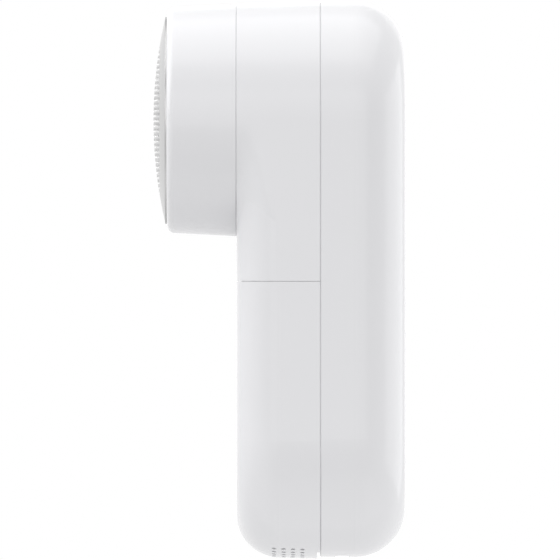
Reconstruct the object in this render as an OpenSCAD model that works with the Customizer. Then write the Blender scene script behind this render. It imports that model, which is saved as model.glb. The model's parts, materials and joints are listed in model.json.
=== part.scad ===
// Cordless fabric shaver: a pill-shaped moulded housing in two halves, a round cutting head with a
// domed perforated foil, a lint bin that slides off downwards, and the drive and electrics inside.
// +Z runs up the housing, the head faces -X, and the housing is symmetric about the plane Y = 0.
// The origin lies under the middle of the outline, level with the lowest point of the lint bin.

/* [Housing] */
// Height of the back shell, bottom to top
body_h = 144; // [132:0.5:165]
// Width of the housing, side to side
body_w = 61.5; // [56:0.5:70]
// Depth of the front half, from the head's seat to the seam
front_d = 21.75; // [20.5:0.05:27]
// Depth of the back half, from the seam to the back face
back_d = 22; // [20.5:0.1:27]
// Taper of the front half's sides, in degrees
front_draft = 1.7; // [0.5:0.1:3]
// Rounding of the front edges
front_edge_r = 11.4; // [6:0.2:14]
// Rounding of the back edges
back_edge_r = 13; // [8:0.2:15]
// Wall of the two shells
wall = 2; // [1.6:0.1:2.6]
// Open line between the front and back halves
seam_gap = 0.15; // [0.1:0.05:0.6]
// Chamfer along the edges that meet at the seams
seam_edge = 0.15; // [0.1:0.05:0.4]
// Thickness of the shells' edge outside the chassis rim
rebate_t = 1; // [0.8:0.1:1.2]
// Clearance between pieces that are fitted together
fit = 0.2; // [0.1:0.05:0.3]

/* [Lint bin] */
// Distance from the head's axis down to the seam above the bin
split_drop = 41.75; // [36:0.25:50]
// Open line above the bin
bin_gap = 0.1; // [0.05:0.05:0.6]
// How far the lip under the upper shell reaches into the bin
lip_drop = 1.2; // [0.8:0.1:2]
// Wall of that lip
lip_wall = 1; // [0.8:0.1:1.4]
// How far the bin stands below the back shell
bin_drop = 0.5; // [0.2:0.1:1.5]
// Wall of the bin
bin_wall = 1.8; // [1.4:0.1:2.4]
// Wall at the back of the bin
bin_back_t = 1.6; // [1.2:0.1:2.2]
// Diameter of a vent hole
vent_d = 1.2; // [0.8:0.1:1.6]
// Spacing of the vent holes
vent_pitch = 2.45; // [2:0.05:3]
// Rows of vent holes round the bottom of the bin
vent_rows = 11; // [3:2:13]
// Vent holes in a row, front to back
vent_columns = 4; // [2:1:4]
// Distance from the head's seat back to the first vent hole
vent_front = 9.75; // [8:0.25:12]
// Width of the finger notch under the bin
notch_w = 20.6; // [12:0.2:26]
// Depth of the finger notch, front to back
notch_t = 0.8; // [0.5:0.1:1.2]
// Height of the finger notch
notch_h = 2.2; // [1.6:0.1:3]
// Distance of a bin rail from the middle
rail_y = 19; // [16:0.5:20]
// Thickness of a rail's web
rail_web_t = 1.6; // [1.2:0.1:2.4]
// Height of a rail's web above the chassis
rail_web_h = 2; // [1.8:0.1:2.6]
// Width of a rail's head
rail_head_w = 4.4; // [3.6:0.1:5]
// Thickness of a rail's head
rail_head_t = 1.2; // [0.8:0.1:1.8]
// Running clearance between the bin and what it slides past
rail_fit = 0.3; // [0.2:0.05:0.4]
// Wall of the channels that run on the rails
channel_t = 1.2; // [0.8:0.1:1.4]
// Clearance between the bin's back wall and the chassis
bin_back_gap = 0.3; // [0.2:0.05:0.5]
// How far the rails end below the seam above the bin
rail_end = 2; // [1:0.1:3]
// How far the rails reach below the centre of the round bottom
rail_reach = 10; // [4:0.5:12]

/* [Head cover] */
// Length of the head cover along its axis
head_len = 18.05; // [16.5:0.05:22]
// Taper of the head cover, in degrees
head_draft = 3; // [1:0.1:4]
// Rounding of the cover's front edge
head_edge_r = 2; // [1:0.1:2.4]
// How far the cover's base is set in from the housing
cover_step = 0.05; // [0:0.05:0.4]
// Open line between the cover and the housing
cover_gap = 0.04; // [0.02:0.01:0.4]
// Wall of the cover at its front
cover_wall = 1.45; // [1.2:0.05:1.8]
// Thickness of the cover's front lip
lip_t = 1.2; // [0.9:0.1:1.8]
// Bayonet lugs inside the cover
lug_count = 6; // [3:1:6]
// Arc of one bayonet lug, in degrees
lug_arc = 20; // [14:1:22]
// Height of a bayonet lug
lug_h = 0.95; // [0.8:0.05:1.2]
// Thickness of a bayonet lug, and of the hook that it turns behind
lug_t = 1.6; // [1.2:0.1:2.2]
// Clearance round the bayonet
bayonet_fit = 0.3; // [0.2:0.05:0.35]

/* [Foil] */
// Rise of the foil's dome above its skirt
foil_rise = 3.1; // [2:0.1:4.5]
// Height of the foil's skirt ahead of the cover
foil_skirt = 0.4; // [0.2:0.1:1]
// Thickness of the foil
foil_t = 0.25; // [0.2:0.05:0.6]
// Width of the flange that the cover's lip holds
flange_w = 0.8; // [0.6:0.05:1.2]
// Diameter of a hole in the foil
hole_d = 1.1; // [0.8:0.05:1.2]
// Spacing of the holes along a row, every second row being set over by half of it
hole_pitch = 1.54; // [1.5:0.02:2]
// Solid band left round the edge of the foil
foil_band = 6.8; // [5:0.1:9]
// Length of the ring that clamps the foil
retainer_len = 2.4; // [1.8:0.1:3]
// Wall of the ring that clamps the foil
retainer_t = 1.6; // [1.2:0.1:2]

/* [Cutter] */
// Number of blades
blade_count = 6; // [3:1:6]
// Thickness of a blade
blade_t = 0.5; // [0.3:0.05:0.8]
// Running gap between the blades and the foil
blade_gap = 0.3; // [0.2:0.05:0.5]
// Running gap round the cutter wheel
cutter_gap = 0.8; // [0.5:0.1:1.5]
// Distance from the foil's skirt back to the wheel's arms
wheel_set = 4.1; // [3.6:0.1:4.6]
// Thickness of the wheel's arms
wheel_t = 3; // [2.6:0.1:3.4]
// Width of a wheel arm
arm_w = 3.4; // [2.4:0.1:4.5]
// Width of the wheel's rim
rim_w = 2.4; // [1.6:0.1:3]
// Depth of the blades' seat in the arms
blade_seat = 1.6; // [1:0.1:2]
// Height of the air vanes behind the arms
vane_h = 2.4; // [1.6:0.1:2.6]
// Thickness of an air vane
vane_t = 1.4; // [1:0.1:2]
// Diameter of the wheel's boss
boss_d = 12; // [10.5:0.5:14]
// Width across the flats of the drive hexagon
hex_w = 5.8; // [5:0.1:6.4]
// How far the wheel's boss stands ahead of its arms
boss_front = 1.9; // [1.6:0.1:2.2]
// Wall at the front of the wheel's boss
boss_wall = 0.65; // [0.5:0.05:0.8]
// Clearance of the wheel on the drive hexagon
hex_fit = 0.1; // [0.05:0.01:0.12]
// How far the wheel can be pressed back on the spindle
float_travel = 0.8; // [0.4:0.1:1]
// Thickness of the spring's wire
spring_wire = 0.6; // [0.4:0.05:0.7]
// Free space for the spring, along the spindle
spring_len = 5; // [4:0.1:5.6]
// Turns of the spring
spring_turns = 4; // [3:1:5]
// Thickness of the spindle's collar that the spring rests on
spring_seat_t = 1.2; // [1:0.1:1.6]

/* [Chamber] */
// How far the bayonet collar stands ahead of the housing
collar_out = 9; // [7:0.2:9.4]
// Wall of the collar
collar_t = 1.8; // [1.4:0.1:2.2]
// Distance from the housing's front back to the chamber's floor
chamber_d = 10; // [8.5:0.1:11]
// Thickness of the chamber's floor
floor_t = 2; // [1.6:0.1:2.4]
// Width of the lint chute
chute_w = 25; // [16:0.5:27]
// Wall of the lint chute
chute_t = 1.4; // [1:0.1:1.8]
// Distance of the chamber's screws in from its collar
post_inset = 4.1; // [3.8:0.1:5]
// Thickness of the flange that the collar bears on the housing with
collar_flange_t = 1.4; // [1:0.1:1.8]
// Height of the felt seal
seal_h = 1.6; // [1.2:0.1:2]
// Outside diameter of the felt seal
seal_d = 10; // [9:0.1:11]
// Wall round the felt seal
seal_wall = 1.4; // [1:0.1:1.6]

/* [Motor] */
// Diameter of the motor
motor_d = 20.4; // [18:0.1:21]
// Width of the motor across its flats
motor_flat_w = 15.4; // [14.8:0.1:16.4]
// Length of the motor's can
can_len = 20.5; // [19.5:0.1:22]
// Sheet thickness of the can
can_t = 0.8; // [0.5:0.1:1]
// Length of the motor's end bell
bell_len = 4.6; // [4.2:0.1:6]
// Diameter of the motor shaft
shaft_d = 2; // [1.5:0.1:2.4]
// How far the shaft stands out of the motor
shaft_out = 9; // [7:0.1:10]
// Running clearance of the shaft in its bushes
shaft_fit = 0.04; // [0.02:0.01:0.08]
// Outside diameter of a bush
bush_d = 4.4; // [4:0.1:5]
// Length of a bush
bush_len = 2.2; // [1.6:0.1:2.4]
// Diameter of the armature
armature_d = 13.2; // [12:0.1:13.4]
// Length of the armature's stack
armature_len = 9; // [7:0.2:9.4]
// Distance from the armature's stack back to the end bell
stack_gap = 4.2; // [4:0.1:4.6]
// Thickness of the magnets
magnet_t = 2; // [1.5:0.1:2.1]
// How far the magnets reach past the armature at each end
magnet_over = 1; // [0.6:0.1:1.2]
// Diameter of the commutator
commutator_d = 5.2; // [4.6:0.1:5.6]
// Length of the commutator
commutator_len = 3; // [2.6:0.1:3.2]
// Wall of the end bell
bell_t = 1.2; // [1:0.1:1.4]
// Distance of a brush terminal from the axis
terminal_y = 5; // [4.6:0.1:5.4]
// Thickness of a brush leaf
leaf_t = 0.4; // [0.3:0.05:0.5]
// Width of a brush leaf
leaf_w = 2; // [1.6:0.1:2.4]
// How far the brush terminals stand out of the end bell
terminal_out = 2; // [1.6:0.1:2.4]
// Distance of the motor's screws from its axis
motor_screw_r = 8.2; // [8:0.1:8.4]
// Distance from the housing's front back to the motor's mounting wall
motor_set = 2; // [1.8:0.1:3]
// Wall of the rubber ring round the motor
damper_t = 1.8; // [1.4:0.1:2.4]

/* [Chassis] */
// Thickness of the chassis ahead of the seam
chassis_front_t = 1; // [0.8:0.1:1.4]
// Thickness of the chassis behind the seam
chassis_back_t = 1.2; // [1:0.1:1.6]
// Wall of the chassis ring round the motor
ring_t = 1.6; // [1.2:0.1:2]
// Length of that ring behind the chassis
ring_len = 3.4; // [2:0.1:5]
// Distance of the lower screws from the middle
low_screw_y = 12; // [11.6:0.1:12.4]
// Distance of the lower screws above the bottom of the cell
low_screw_rise = 3.6; // [3:0.1:5]
// Distance of the upper screws from the housing's side
high_screw_edge = 10.7; // [10:0.1:11.2]
// Distance of the upper screws below the head's axis
high_screw_drop = 22; // [20:0.2:24]
// Distance of the top screw above the head's axis
top_screw_rise = 19.5; // [18.8:0.1:20]

/* [Electrics] */
// Diameter of the cell
cell_d = 14.2; // [13:0.1:15]
// Length of the cell
cell_len = 50; // [44:0.5:52]
// Thickness of the cell's tabs
tab_t = 0.3; // [0.2:0.05:0.4]
// Width of the cell's tabs
tab_w = 5; // [4:0.1:6]
// Length of the cell's tabs
tab_len = 8.5; // [7:0.1:9]
// Height of the cell's top cap
cap_h = 1; // [0.6:0.1:1.2]
// Diameter of the cell's top cap
cap_d = 5.6; // [5:0.1:6.4]
// Rounding of the cell's shoulder, as a step
shoulder = 0.6; // [0.4:0.1:0.8]
// Thickness of the ribs that hold the cell
rib_t = 1.6; // [1.2:0.1:2]
// Distance of the ribs from the ends of the cell
rib_set = 10; // [8:0.5:12]
// Width of the ribs on each side of the cell
rib_w = 3; // [2:0.1:3.4]
// Thickness of both circuit boards
board_t = 1.2; // [0.8:0.1:1.6]
// Width of the control board
board_w = 26; // [24:0.5:28]
// Height of the control board above the power button's middle
board_up = 8; // [7.6:0.1:8.6]
// Height of the control board below the power button's middle
board_down = 12; // [11.6:0.1:12.6]
// Distance from the control board to the back shell
board_gap = 4; // [3.8:0.1:4.6]
// Distance of a board's screws in from its edges
board_edge = 2.6; // [2.2:0.1:2.8]
// Diameter of the bosses that carry the boards
small_post_d = 4.4; // [4:0.1:4.6]
// Distance of the power button below the head's axis
button_drop = 14; // [13:0.2:18]
// Diameter of the power button
button_d = 12; // [10:0.2:13]
// Depth of the dish in the power button
button_dish = 0.5; // [0.2:0.05:0.8]
// How far the power button's edge lies below the back face
button_sink = 0.15; // [0.1:0.05:0.3]
// Width of the rim that holds the power button in
button_rim_w = 1.2; // [0.8:0.1:1.4]
// Thickness of that rim
button_rim_t = 0.8; // [0.6:0.1:1]
// Travel of the power button
button_travel = 0.5; // [0.3:0.05:0.6]
// Width of the switch under the power button
switch_w = 6; // [5.6:0.1:6.4]
// Height of that switch
switch_h = 2.2; // [2:0.1:2.4]
// Thickness of the switch's floor
switch_floor = 0.4; // [0.3:0.05:0.5]
// Diameter of the switch's plunger
plunger_d = 3.2; // [2.8:0.1:3.6]
// Distance of the indicator below the power button
indicator_drop = 10; // [9.6:0.1:11]
// Diameter of the indicator's light pipe
pipe_d = 2.2; // [1.6:0.1:2.6]
// Width of the light pipe's collar
pipe_collar = 0.6; // [0.4:0.1:1]
// Length of the light pipe's collar
pipe_collar_t = 1; // [0.6:0.1:1.2]
// Thickness of the indicator lamp
led_t = 0.6; // [0.5:0.1:0.8]
// Width of the indicator lamp
led_w = 1.6; // [1.2:0.1:2]
// Width of the charge board
charge_w = 16; // [14:0.5:18]
// Height of the charge board
charge_h = 13; // [12.5:0.1:14]
// Distance of the charge board above the inside of the shell
charge_set = 2; // [1.6:0.1:2.4]
// Distance of the charge board's screws below its top
charge_screw_drop = 3; // [2.6:0.1:3.4]
// Distance from the seam back to the middle of the charge socket
socket_set = 5.6; // [5.2:0.1:6.2]
// Width of the charge socket
socket_w = 8.9; // [8.6:0.1:9.2]
// Thickness of the charge socket
socket_t = 3.2; // [3:0.1:3.4]
// Length of the charge socket
socket_len = 7.3; // [6.5:0.1:8]
// How far the charge socket lies inside the shell's outer face
socket_sink = 0.5; // [0.3:0.1:0.8]
// Sheet thickness of the charge socket
socket_sheet = 0.3; // [0.2:0.05:0.35]
// Thickness of the floor behind the charge socket
socket_floor = 1; // [0.8:0.1:1.2]
// Thickness of the tongue in the charge socket
tongue_t = 0.7; // [0.6:0.05:0.8]
// Width of the tongue in the charge socket
tongue_w = 6.6; // [6.2:0.1:6.8]
// How far the tongue's tip lies inside the charge socket
tongue_set = 1.2; // [0.8:0.1:1.6]
// Diameter of a lead
lead_d = 1.1; // [0.8:0.1:1.3]
// Distance of the long leads from the side of the cell
lead_side = 9.5; // [9:0.1:10]
// Height of a lead's bend where it leaves a tab or a plug
lead_bend = 2; // [1.6:0.1:2.4]
// Space between a lead's bare end and what it is joined to
lead_seat = 0.15; // [0.1:0.05:0.2]
// Thickness, width and height of a plug for two leads
plug_t = 3; // [2.8:0.1:3.2]
plug_w = 5; // [4.6:0.1:5.4]
plug_h = 3.4; // [3:0.1:3.6]
// Distance of the lower plugs from the middle
plug_y = 10; // [9.8:0.1:10.2]
// Distance of the upper plugs from the middle
motor_plug_y = 6; // [5.8:0.1:6.4]
// Distance of a plug from the edge of its board
plug_edge = 0.8; // [0.5:0.1:1.2]

/* [Screws] */
// Diameter of the housing screws
screw_d = 2.2; // [1.8:0.1:2.6]
// Diameter of a screw's head
screw_head_d = 4; // [3.6:0.1:4.4]
// Height of a screw's head
screw_head_h = 1.4; // [1:0.1:1.6]
// Reach of a housing screw
screw_len = 7; // [5:0.5:8]
// Diameter of the bosses that take the screws
post_d = 5.6; // [5:0.1:6.2]
// Diameter of the small screws in the motor and the boards
small_screw_d = 1.8; // [1.4:0.1:2]
// Diameter of a small screw's head
small_head_d = 3.2; // [2.8:0.1:3.4]
// Height of a small screw's head
small_head_h = 1.1; // [0.8:0.1:1.2]
// Reach of a small screw
small_screw_len = 4; // [3:0.1:4.4]

/* [Hidden] */
$fn = 64;

// Places along X, from the foil's tip to the back face, centred on the origin
overall_d = foil_rise + foil_skirt + head_len + front_d + back_d;
x_tip = -overall_d / 2;
x_skirt = x_tip + foil_rise;
x_rim = x_skirt + foil_skirt;
x_front = x_rim + head_len;
x_seam = x_front + front_d;
x_back = x_seam + back_d;
x_back_in = x_back - wall;

// Places up Z, rounded to a very fine grid so that the faces that meet there meet exactly
grid = 1024;
function on_grid(v) = round(v * grid) / grid;
body_r = body_w / 2;
z_low = on_grid(bin_drop + body_r);
z_head = on_grid(bin_drop + body_h - body_r);
z_split = on_grid(z_head - split_drop);
z_bin = on_grid(body_r);
z_button = z_head - button_drop;

// Small overlap that lets a cut run past a face, and how far two tangent faces are kept apart
past = 1;
blend = 0.01;

// Radius of the tapered side of the front half at a place along X, set in by a wall
function side_r(x, inset = 0) = body_r - (x_seam - x) * tan(front_draft) - inset / cos(front_draft);

// Head, from the outside in
cover_base_r = side_r(x_front) - cover_step;
cover_front_r = cover_base_r - head_len * tan(head_draft);
bore_r = cover_front_r - cover_wall;
skirt_r = bore_r - flange_w;
lip_r = skirt_r + fit;
lug_r = bore_r - lug_h;
collar_r = lug_r - bayonet_fit;
hook_r = bore_r - bayonet_fit;
seat_hole_r = collar_r + fit;
retainer_r = bore_r - fit / 2;
cutter_r = retainer_r - retainer_t - cutter_gap;

// Foil dome
dome_r = (skirt_r * skirt_r + foil_rise * foil_rise) / (2 * foil_rise);
x_dome = x_tip + dome_r;
x_flange = x_rim + lip_t;
blade_edge_r = dome_r - foil_t - blade_gap;
hole_field_r = skirt_r - foil_band;
row_pitch = hole_pitch * sqrt(3) / 2;
hole_rows = floor(hole_field_r / row_pitch);
hole_places = floor(hole_field_r / hole_pitch);

// Cutter and spindle
x_wheel = x_skirt + wheel_set;
x_vane = x_wheel + wheel_t;
x_boss = x_vane + vane_h;
x_spring_seat = x_boss + spring_len;
boss_r = boss_d / 2;
hex_r = hex_w / 2 / cos(30);
hex_hole_r = hex_r + hex_fit / cos(30);
spindle_r = hex_r;
nose_gap = float_travel + blade_gap;
x_socket = x_wheel - boss_front + boss_wall;
x_nose = x_socket + nose_gap;

// Chamber
x_hook = x_front - collar_out;
x_lug = x_hook + lug_t + fit;
x_floor = x_front + chamber_d;
x_floor_back = x_floor + floor_t;
x_mount = x_front + motor_set;
x_motor = x_mount + floor_t;
house_r = motor_d / 2 + fit;
post_circle_r = collar_r - collar_t - post_inset;
stop_arc = 3;
hook_over = 1;

// Motor
motor_r = motor_d / 2;
shaft_r = shaft_d / 2;
bush_r = bush_d / 2;
can_boss_r = bush_r + can_t;
x_bell = x_motor + can_len;
x_motor_end = x_bell + bell_len;
commutator_r = commutator_d / 2;
pole_count = 3;
pole_w = 2.4;
pole_hub_r = 2.4;
shoe_t = 1.2;
shoe_arc = 80;
winding_gap = 0.15;
winding_t = 1.1;
end_turn = 1;
magnet_arc = 90;
x_stack = x_bell - armature_len - stack_gap;

// Chassis and bin
x_chassis = x_seam - chassis_front_t;
x_chassis_back = x_seam + chassis_back_t;
chassis_t = chassis_front_t + chassis_back_t;
rebate_r = body_r - rebate_t;
chassis_r = rebate_r - fit;
x_rail_web = x_chassis - rail_web_h;
x_rail_head = x_rail_web - rail_head_t;
x_bin_back = x_chassis - bin_back_gap;
rail_low = z_low - rail_reach;
rail_high = z_split - rail_end;
damper_r = motor_r + damper_t;
ring_r = damper_r + fit / 2;

// Electrics
cell_r = cell_d / 2;
x_cell = (x_chassis_back + x_back_in) / 2;
x_board = x_back_in - board_gap - board_t;
board_high = z_button + board_up;
board_low = z_button - board_down;
x_charge = x_seam + socket_set + socket_t / 2;
z_socket = bin_drop + socket_sink;
charge_low = bin_drop + wall + charge_set;
charge_high = charge_low + charge_h;
z_cell = (charge_high + board_low) / 2 - cell_len / 2;
board_spots = [[board_w / 2 - board_edge, z_button], [board_edge - board_w / 2, z_button]];
charge_spots = [[charge_w / 2 - board_edge, charge_high - charge_screw_drop],
    [board_edge - charge_w / 2, charge_high - charge_screw_drop]];
small_post_r = small_post_d / 2;
plunger_r = plunger_d / 2;
plunger_fit = 0.08;
button_r = button_d / 2;
x_button_rim = x_back_in - fit / 2 - button_rim_t;
z_indicator = z_button - indicator_drop;
pipe_r = pipe_d / 2;
plug_ways = [plug_t / 4, plug_t * 3 / 4];
z_board_plug = board_low + plug_edge;
z_motor_plug = board_high - plug_h - plug_edge;
z_charge_plug = charge_high - plug_h - plug_edge;
lead_y = cell_r + lead_side;
tab_x = x_cell - cell_r + shoulder;
rib_levels = [z_cell + rib_set, z_cell + cell_len - rib_set];

// Screws: spots as [across, up] pairs
post_r = post_d / 2;
chassis_spots = [[low_screw_y, z_cell + low_screw_rise], [-low_screw_y, z_cell + low_screw_rise],
    [body_r - high_screw_edge, z_head - high_screw_drop],
    [high_screw_edge - body_r, z_head - high_screw_drop], [0, z_head + top_screw_rise]];
chamber_spots = [for (a = [40, 140, 205, 335]) [post_circle_r * cos(a), z_head + post_circle_r * sin(a)]];
motor_spots = [[0, z_head + motor_screw_r], [0, z_head - motor_screw_r]];
thread_fit = 0.02;

// Turns a flat drawing (across, up) into a plate from x, of the given thickness
module plate(x, thickness) {
    translate([x, 0, 0]) rotate([90, 0, 90]) linear_extrude(thickness) children();
}

// Turns a half profile (radius, X) round an axis along X at height z
module turned(z, angle = 360, start = 0) {
    translate([0, 0, z]) rotate([90, 0, 90]) rotate_extrude(angle = angle, start = start) children();
}

// Draws a half profile (radius, X) out along Z between two heights, on both sides of the middle
module straight(low, high) {
    translate([0, 0, high]) rotate([180, 0, 90]) linear_extrude(high - low) {
        children();
        mirror([1, 0, 0]) children();
    }
}

// Chamfer cut at a corner of a half profile
module corner_cut(r, x) {
    translate([r, x]) rotate(45) square(seam_edge * sqrt(2), center = true);
}

// A pill: the half profile turned round both ends and drawn straight between them
module pill(low, high) {
    turned(high, 180, 0) children();
    turned(low, 180, 180) children();
    straight(low, high) children();
}

// A round bar along X
module bar(x, y, z, r, length) {
    translate([x, y, z]) rotate([0, 90, 0]) cylinder(r = r, h = length);
}

// A rectangle of the half profile, from one radius and place along X to another
module band(r1, r2, x1, x2) {
    translate([r1, x1]) square([r2 - r1, x2 - x1]);
}

// Half profile of the back half, set in by a wall
module back_half(inset, x_start = x_seam) {
    r = body_r - inset;
    x_end = x_back - inset;
    edge = back_edge_r - inset;
    intersection() {
        band(0, r, x_start, x_end);
        union() {
            band(0, r - edge, x_seam - past, x_end);
            band(0, r, x_seam - edge, x_end - edge);
            translate([r - edge, x_end - edge]) circle(edge);
        }
    }
}

// Half profile of the space for the chassis rim inside the edges of both halves
module rim_space() {
    band(0, rebate_r, x_chassis - fit, x_chassis_back + fit);
}

// Half profile of the front half, set in by a wall, with its rounded front edge
module front_half(inset, x_end) {
    x_start = x_front + inset;
    edge = front_edge_r - inset;
    x_edge = x_start + edge;
    r_edge = side_r(x_edge, inset) - edge / cos(front_draft);
    tangent = [r_edge + edge * cos(front_draft), x_edge - edge * sin(front_draft)];
    intersection() {
        band(0, body_w, x_start, x_end);
        union() {
            polygon([[0, x_start], [r_edge, x_start], [r_edge, x_edge], tangent,
                [side_r(x_seam + past, inset), x_seam + past], [0, x_seam + past]]);
            translate([r_edge, x_edge]) circle(edge);
        }
    }
}

// Half profile of the front half where the round head meets it, with a sharp front edge
module front_cone(inset, x_end) {
    x_start = x_front + inset;
    polygon([[0, x_start], [side_r(x_start, inset), x_start], [side_r(x_end, inset), x_end], [0, x_end]]);
}

// A screw driven towards +X, its head's seat at x, with a cross recess
module screw(x, spot, d, head_d, head_h, length) {
    recess_w = d / 4;
    recess_l = head_d * 0.6;
    difference() {
        union() {
            bar(x - head_h, spot[0], spot[1], head_d / 2, head_h);
            bar(x - head_h / 2, spot[0], spot[1], d / 2, length + head_h / 2);
        }
        translate([x - head_h, spot[0], spot[1]]) {
            cube([head_h, recess_w, recess_l], center = true);
            cube([head_h, recess_l, recess_w], center = true);
        }
    }
}

// A round tube along a list of points: rings square to the path, closed at both ends
function unit(v) = v / norm(v);
function heading(path, i) = unit(path[min(i + 1, len(path) - 1)] - path[max(i - 1, 0)]);
function ring_of(path, i, r, sides, up) =
    let (t = heading(path, i), n = unit(cross(t, up)), b = cross(t, n))
    [for (k = [0:sides - 1]) path[i] + r * (cos(360 * k / sides) * n + sin(360 * k / sides) * b)];

module tube(path, r, sides, up) {
    rings = len(path);
    last = (rings - 1) * sides;
    points = [for (i = [0:rings - 1]) each ring_of(path, i, r, sides, up)];
    walls = [for (i = [0:rings - 2], k = [0:sides - 1])
        let (a = i * sides + k, b = i * sides + (k + 1) % sides)
        each [[a, b, b + sides], [a, b + sides, a + sides]]];
    near_end = [for (k = [1:sides - 2]) [0, k + 1, k]];
    far_end = [for (k = [1:sides - 2]) [last, last + k, last + k + 1]];
    polyhedron(points, faces = concat(walls, near_end, far_end));
}

// A smooth path through a list of points
function blend_point(a, b, c, d, t) =
    0.5 * (2 * b + t * (c - a) + t * t * (2 * a - 5 * b + 4 * c - d) + t * t * t * (3 * b - a - 3 * c + d));
function smooth(route, steps = 4) = [
    for (i = [0:len(route) - 2], s = [0:steps - 1])
        let (next = route[i + 1], after = route[min(i + 2, len(route) - 1)])
        blend_point(route[max(i - 1, 0)], route[i], next, after, s / steps),
    route[len(route) - 1]];

module lead(route) {
    tube(smooth(route), lead_d / 2, 8, [1, 0.3, 0]);
}

// Cutting head

module head_cover() {
    x_base = x_front - cover_gap;
    slope = tan(head_draft);
    x_edge = x_rim + head_edge_r;
    r_edge = cover_front_r + head_edge_r * slope - head_edge_r / cos(head_draft);
    tangent = [r_edge + head_edge_r * cos(head_draft), x_edge - head_edge_r * sin(head_draft)];
    base_r = cover_base_r - cover_gap * slope;
    color("white") union() {
        turned(z_head) difference() {
            union() {
                polygon([[0, x_rim], [r_edge, x_rim], [r_edge, x_edge], tangent,
                    [base_r, x_base], [0, x_base]]);
                translate([r_edge, x_edge]) circle(head_edge_r);
            }
            band(-past, lip_r, x_rim - past, x_base + past);
            band(-past, bore_r, x_flange, x_base + past);
            corner_cut(base_r, x_base);
        }
        for (i = [0:lug_count - 1])
            turned(z_head, lug_arc, i * 360 / lug_count - lug_arc / 2)
                band(lug_r, bore_r + cover_wall / 2, x_lug, x_lug + lug_t);
    }
}

// Holes square to the dome, in level rows packed as close as they go, over the field inside the foil's band
module foil_holes() {
    for (row = [-hole_rows:hole_rows], place = [-hole_places:hole_places]) {
        spot = [(place + abs(row % 2) / 2) * hole_pitch, row * row_pitch];
        if (norm(spot) < hole_field_r - hole_d / 2)
            rotate([atan2(spot[1], spot[0]), 0, 0]) rotate([0, -90, -asin(norm(spot) / dome_r)])
                rotate_extrude() translate([0, dome_r - foil_t - past])
                    square([hole_d / 2, foil_t + 2 * past]);
    }
}

module foil_screen() {
    color("silver") difference() {
        turned(z_head) union() {
            intersection() {
                band(0, skirt_r, x_tip, x_skirt + foil_t);
                difference() {
                    translate([0, x_dome]) circle(dome_r, $fn = 720);
                    translate([0, x_dome]) circle(dome_r - foil_t, $fn = 720);
                }
            }
            band(skirt_r - foil_t, skirt_r, x_skirt, x_flange + foil_t);
            band(skirt_r - foil_t, bore_r - fit / 2, x_flange, x_flange + foil_t);
        }
        translate([x_dome, 0, z_head]) foil_holes();
    }
}

module foil_retainer() {
    x_start = x_flange + foil_t;
    x_end = x_start + retainer_len;
    spigot_r = skirt_r - foil_t - fit;
    color("gainsboro") turned(z_head) {
        band(retainer_r - retainer_t, retainer_r, x_start, x_end);
        band(spigot_r - retainer_t / 2, spigot_r, x_start - foil_t, x_end);
    }
}

module wheel_outline() {
    circle(boss_r);
    difference() {
        circle(cutter_r);
        circle(cutter_r - rim_w);
    }
    for (i = [0:blade_count - 1]) rotate(i * 360 / blade_count)
        translate([0, -arm_w / 2]) square([cutter_r - rim_w / 2, arm_w]);
}

module vane_outline() {
    for (i = [0:blade_count - 1]) rotate(i * 360 / blade_count)
        translate([boss_r - vane_t, -vane_t / 2]) square([cutter_r - rim_w - boss_r, vane_t]);
}

module cutter_wheel() {
    color("gainsboro") difference() {
        translate([0, 0, z_head]) {
            plate(x_wheel, wheel_t) wheel_outline();
            plate(x_vane - wheel_t / 4, vane_h + wheel_t / 4) vane_outline();
            plate(x_wheel - boss_front, x_boss - x_wheel + boss_front) circle(boss_r);
        }
        translate([0, 0, z_head]) plate(x_socket, x_boss - x_socket + past) circle(hex_hole_r, $fn = 6);
        for (i = [0:blade_count - 1])
            blade(i) band(boss_r + fit, cutter_r + past, x_wheel - past, x_wheel + blade_seat);
    }
}

// A flat piece of blade thickness in the plane of one arm, drawn as (radius, X)
module blade(i) {
    translate([0, 0, z_head]) rotate([i * 360 / blade_count, 0, 0])
        translate([0, 0, -blade_t / 2]) mirror([0, 0, 1]) rotate([180, 0, 90])
            linear_extrude(blade_t) children();
}

module cutter_blades() {
    color("lightsteelblue") for (i = [0:blade_count - 1]) blade(i) intersection() {
        band(boss_r + fit, cutter_r - fit, x_tip, x_wheel + blade_seat);
        translate([0, x_dome]) circle(blade_edge_r, $fn = 720);
    }
}

module float_spring() {
    steps = 8;
    coil_r = boss_r - spring_wire * 2;
    start = x_boss + spring_wire / 2 + thread_fit;
    length = spring_len - spring_wire - 2 * thread_fit;
    rings = steps * spring_turns;
    path = [for (i = [0:rings]) [start + length * i / rings,
        coil_r * cos(360 * i / steps), z_head + coil_r * sin(360 * i / steps)]];
    color("silver") tube(path, spring_wire / 2, 6, [1, 0, 0]);
}

module drive_spindle() {
    x_end = x_mount - fit;
    color("darkgray") difference() {
        union() {
            translate([0, 0, z_head]) plate(x_nose, x_spring_seat - x_nose + spring_seat_t / 2)
                circle(hex_r, $fn = 6);
            bar(x_spring_seat, 0, z_head, boss_r, spring_seat_t);
            bar(x_spring_seat + spring_seat_t / 2, 0, z_head, spindle_r,
                x_end - x_spring_seat - spring_seat_t / 2);
        }
        bar(x_motor - shaft_out, 0, z_head, shaft_r + thread_fit, shaft_out);
    }
}

module shaft_seal() {
    color("wheat") turned(z_head)
        band(spindle_r + shaft_fit, seal_d / 2, x_mount - seal_h, x_mount);
}

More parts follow.
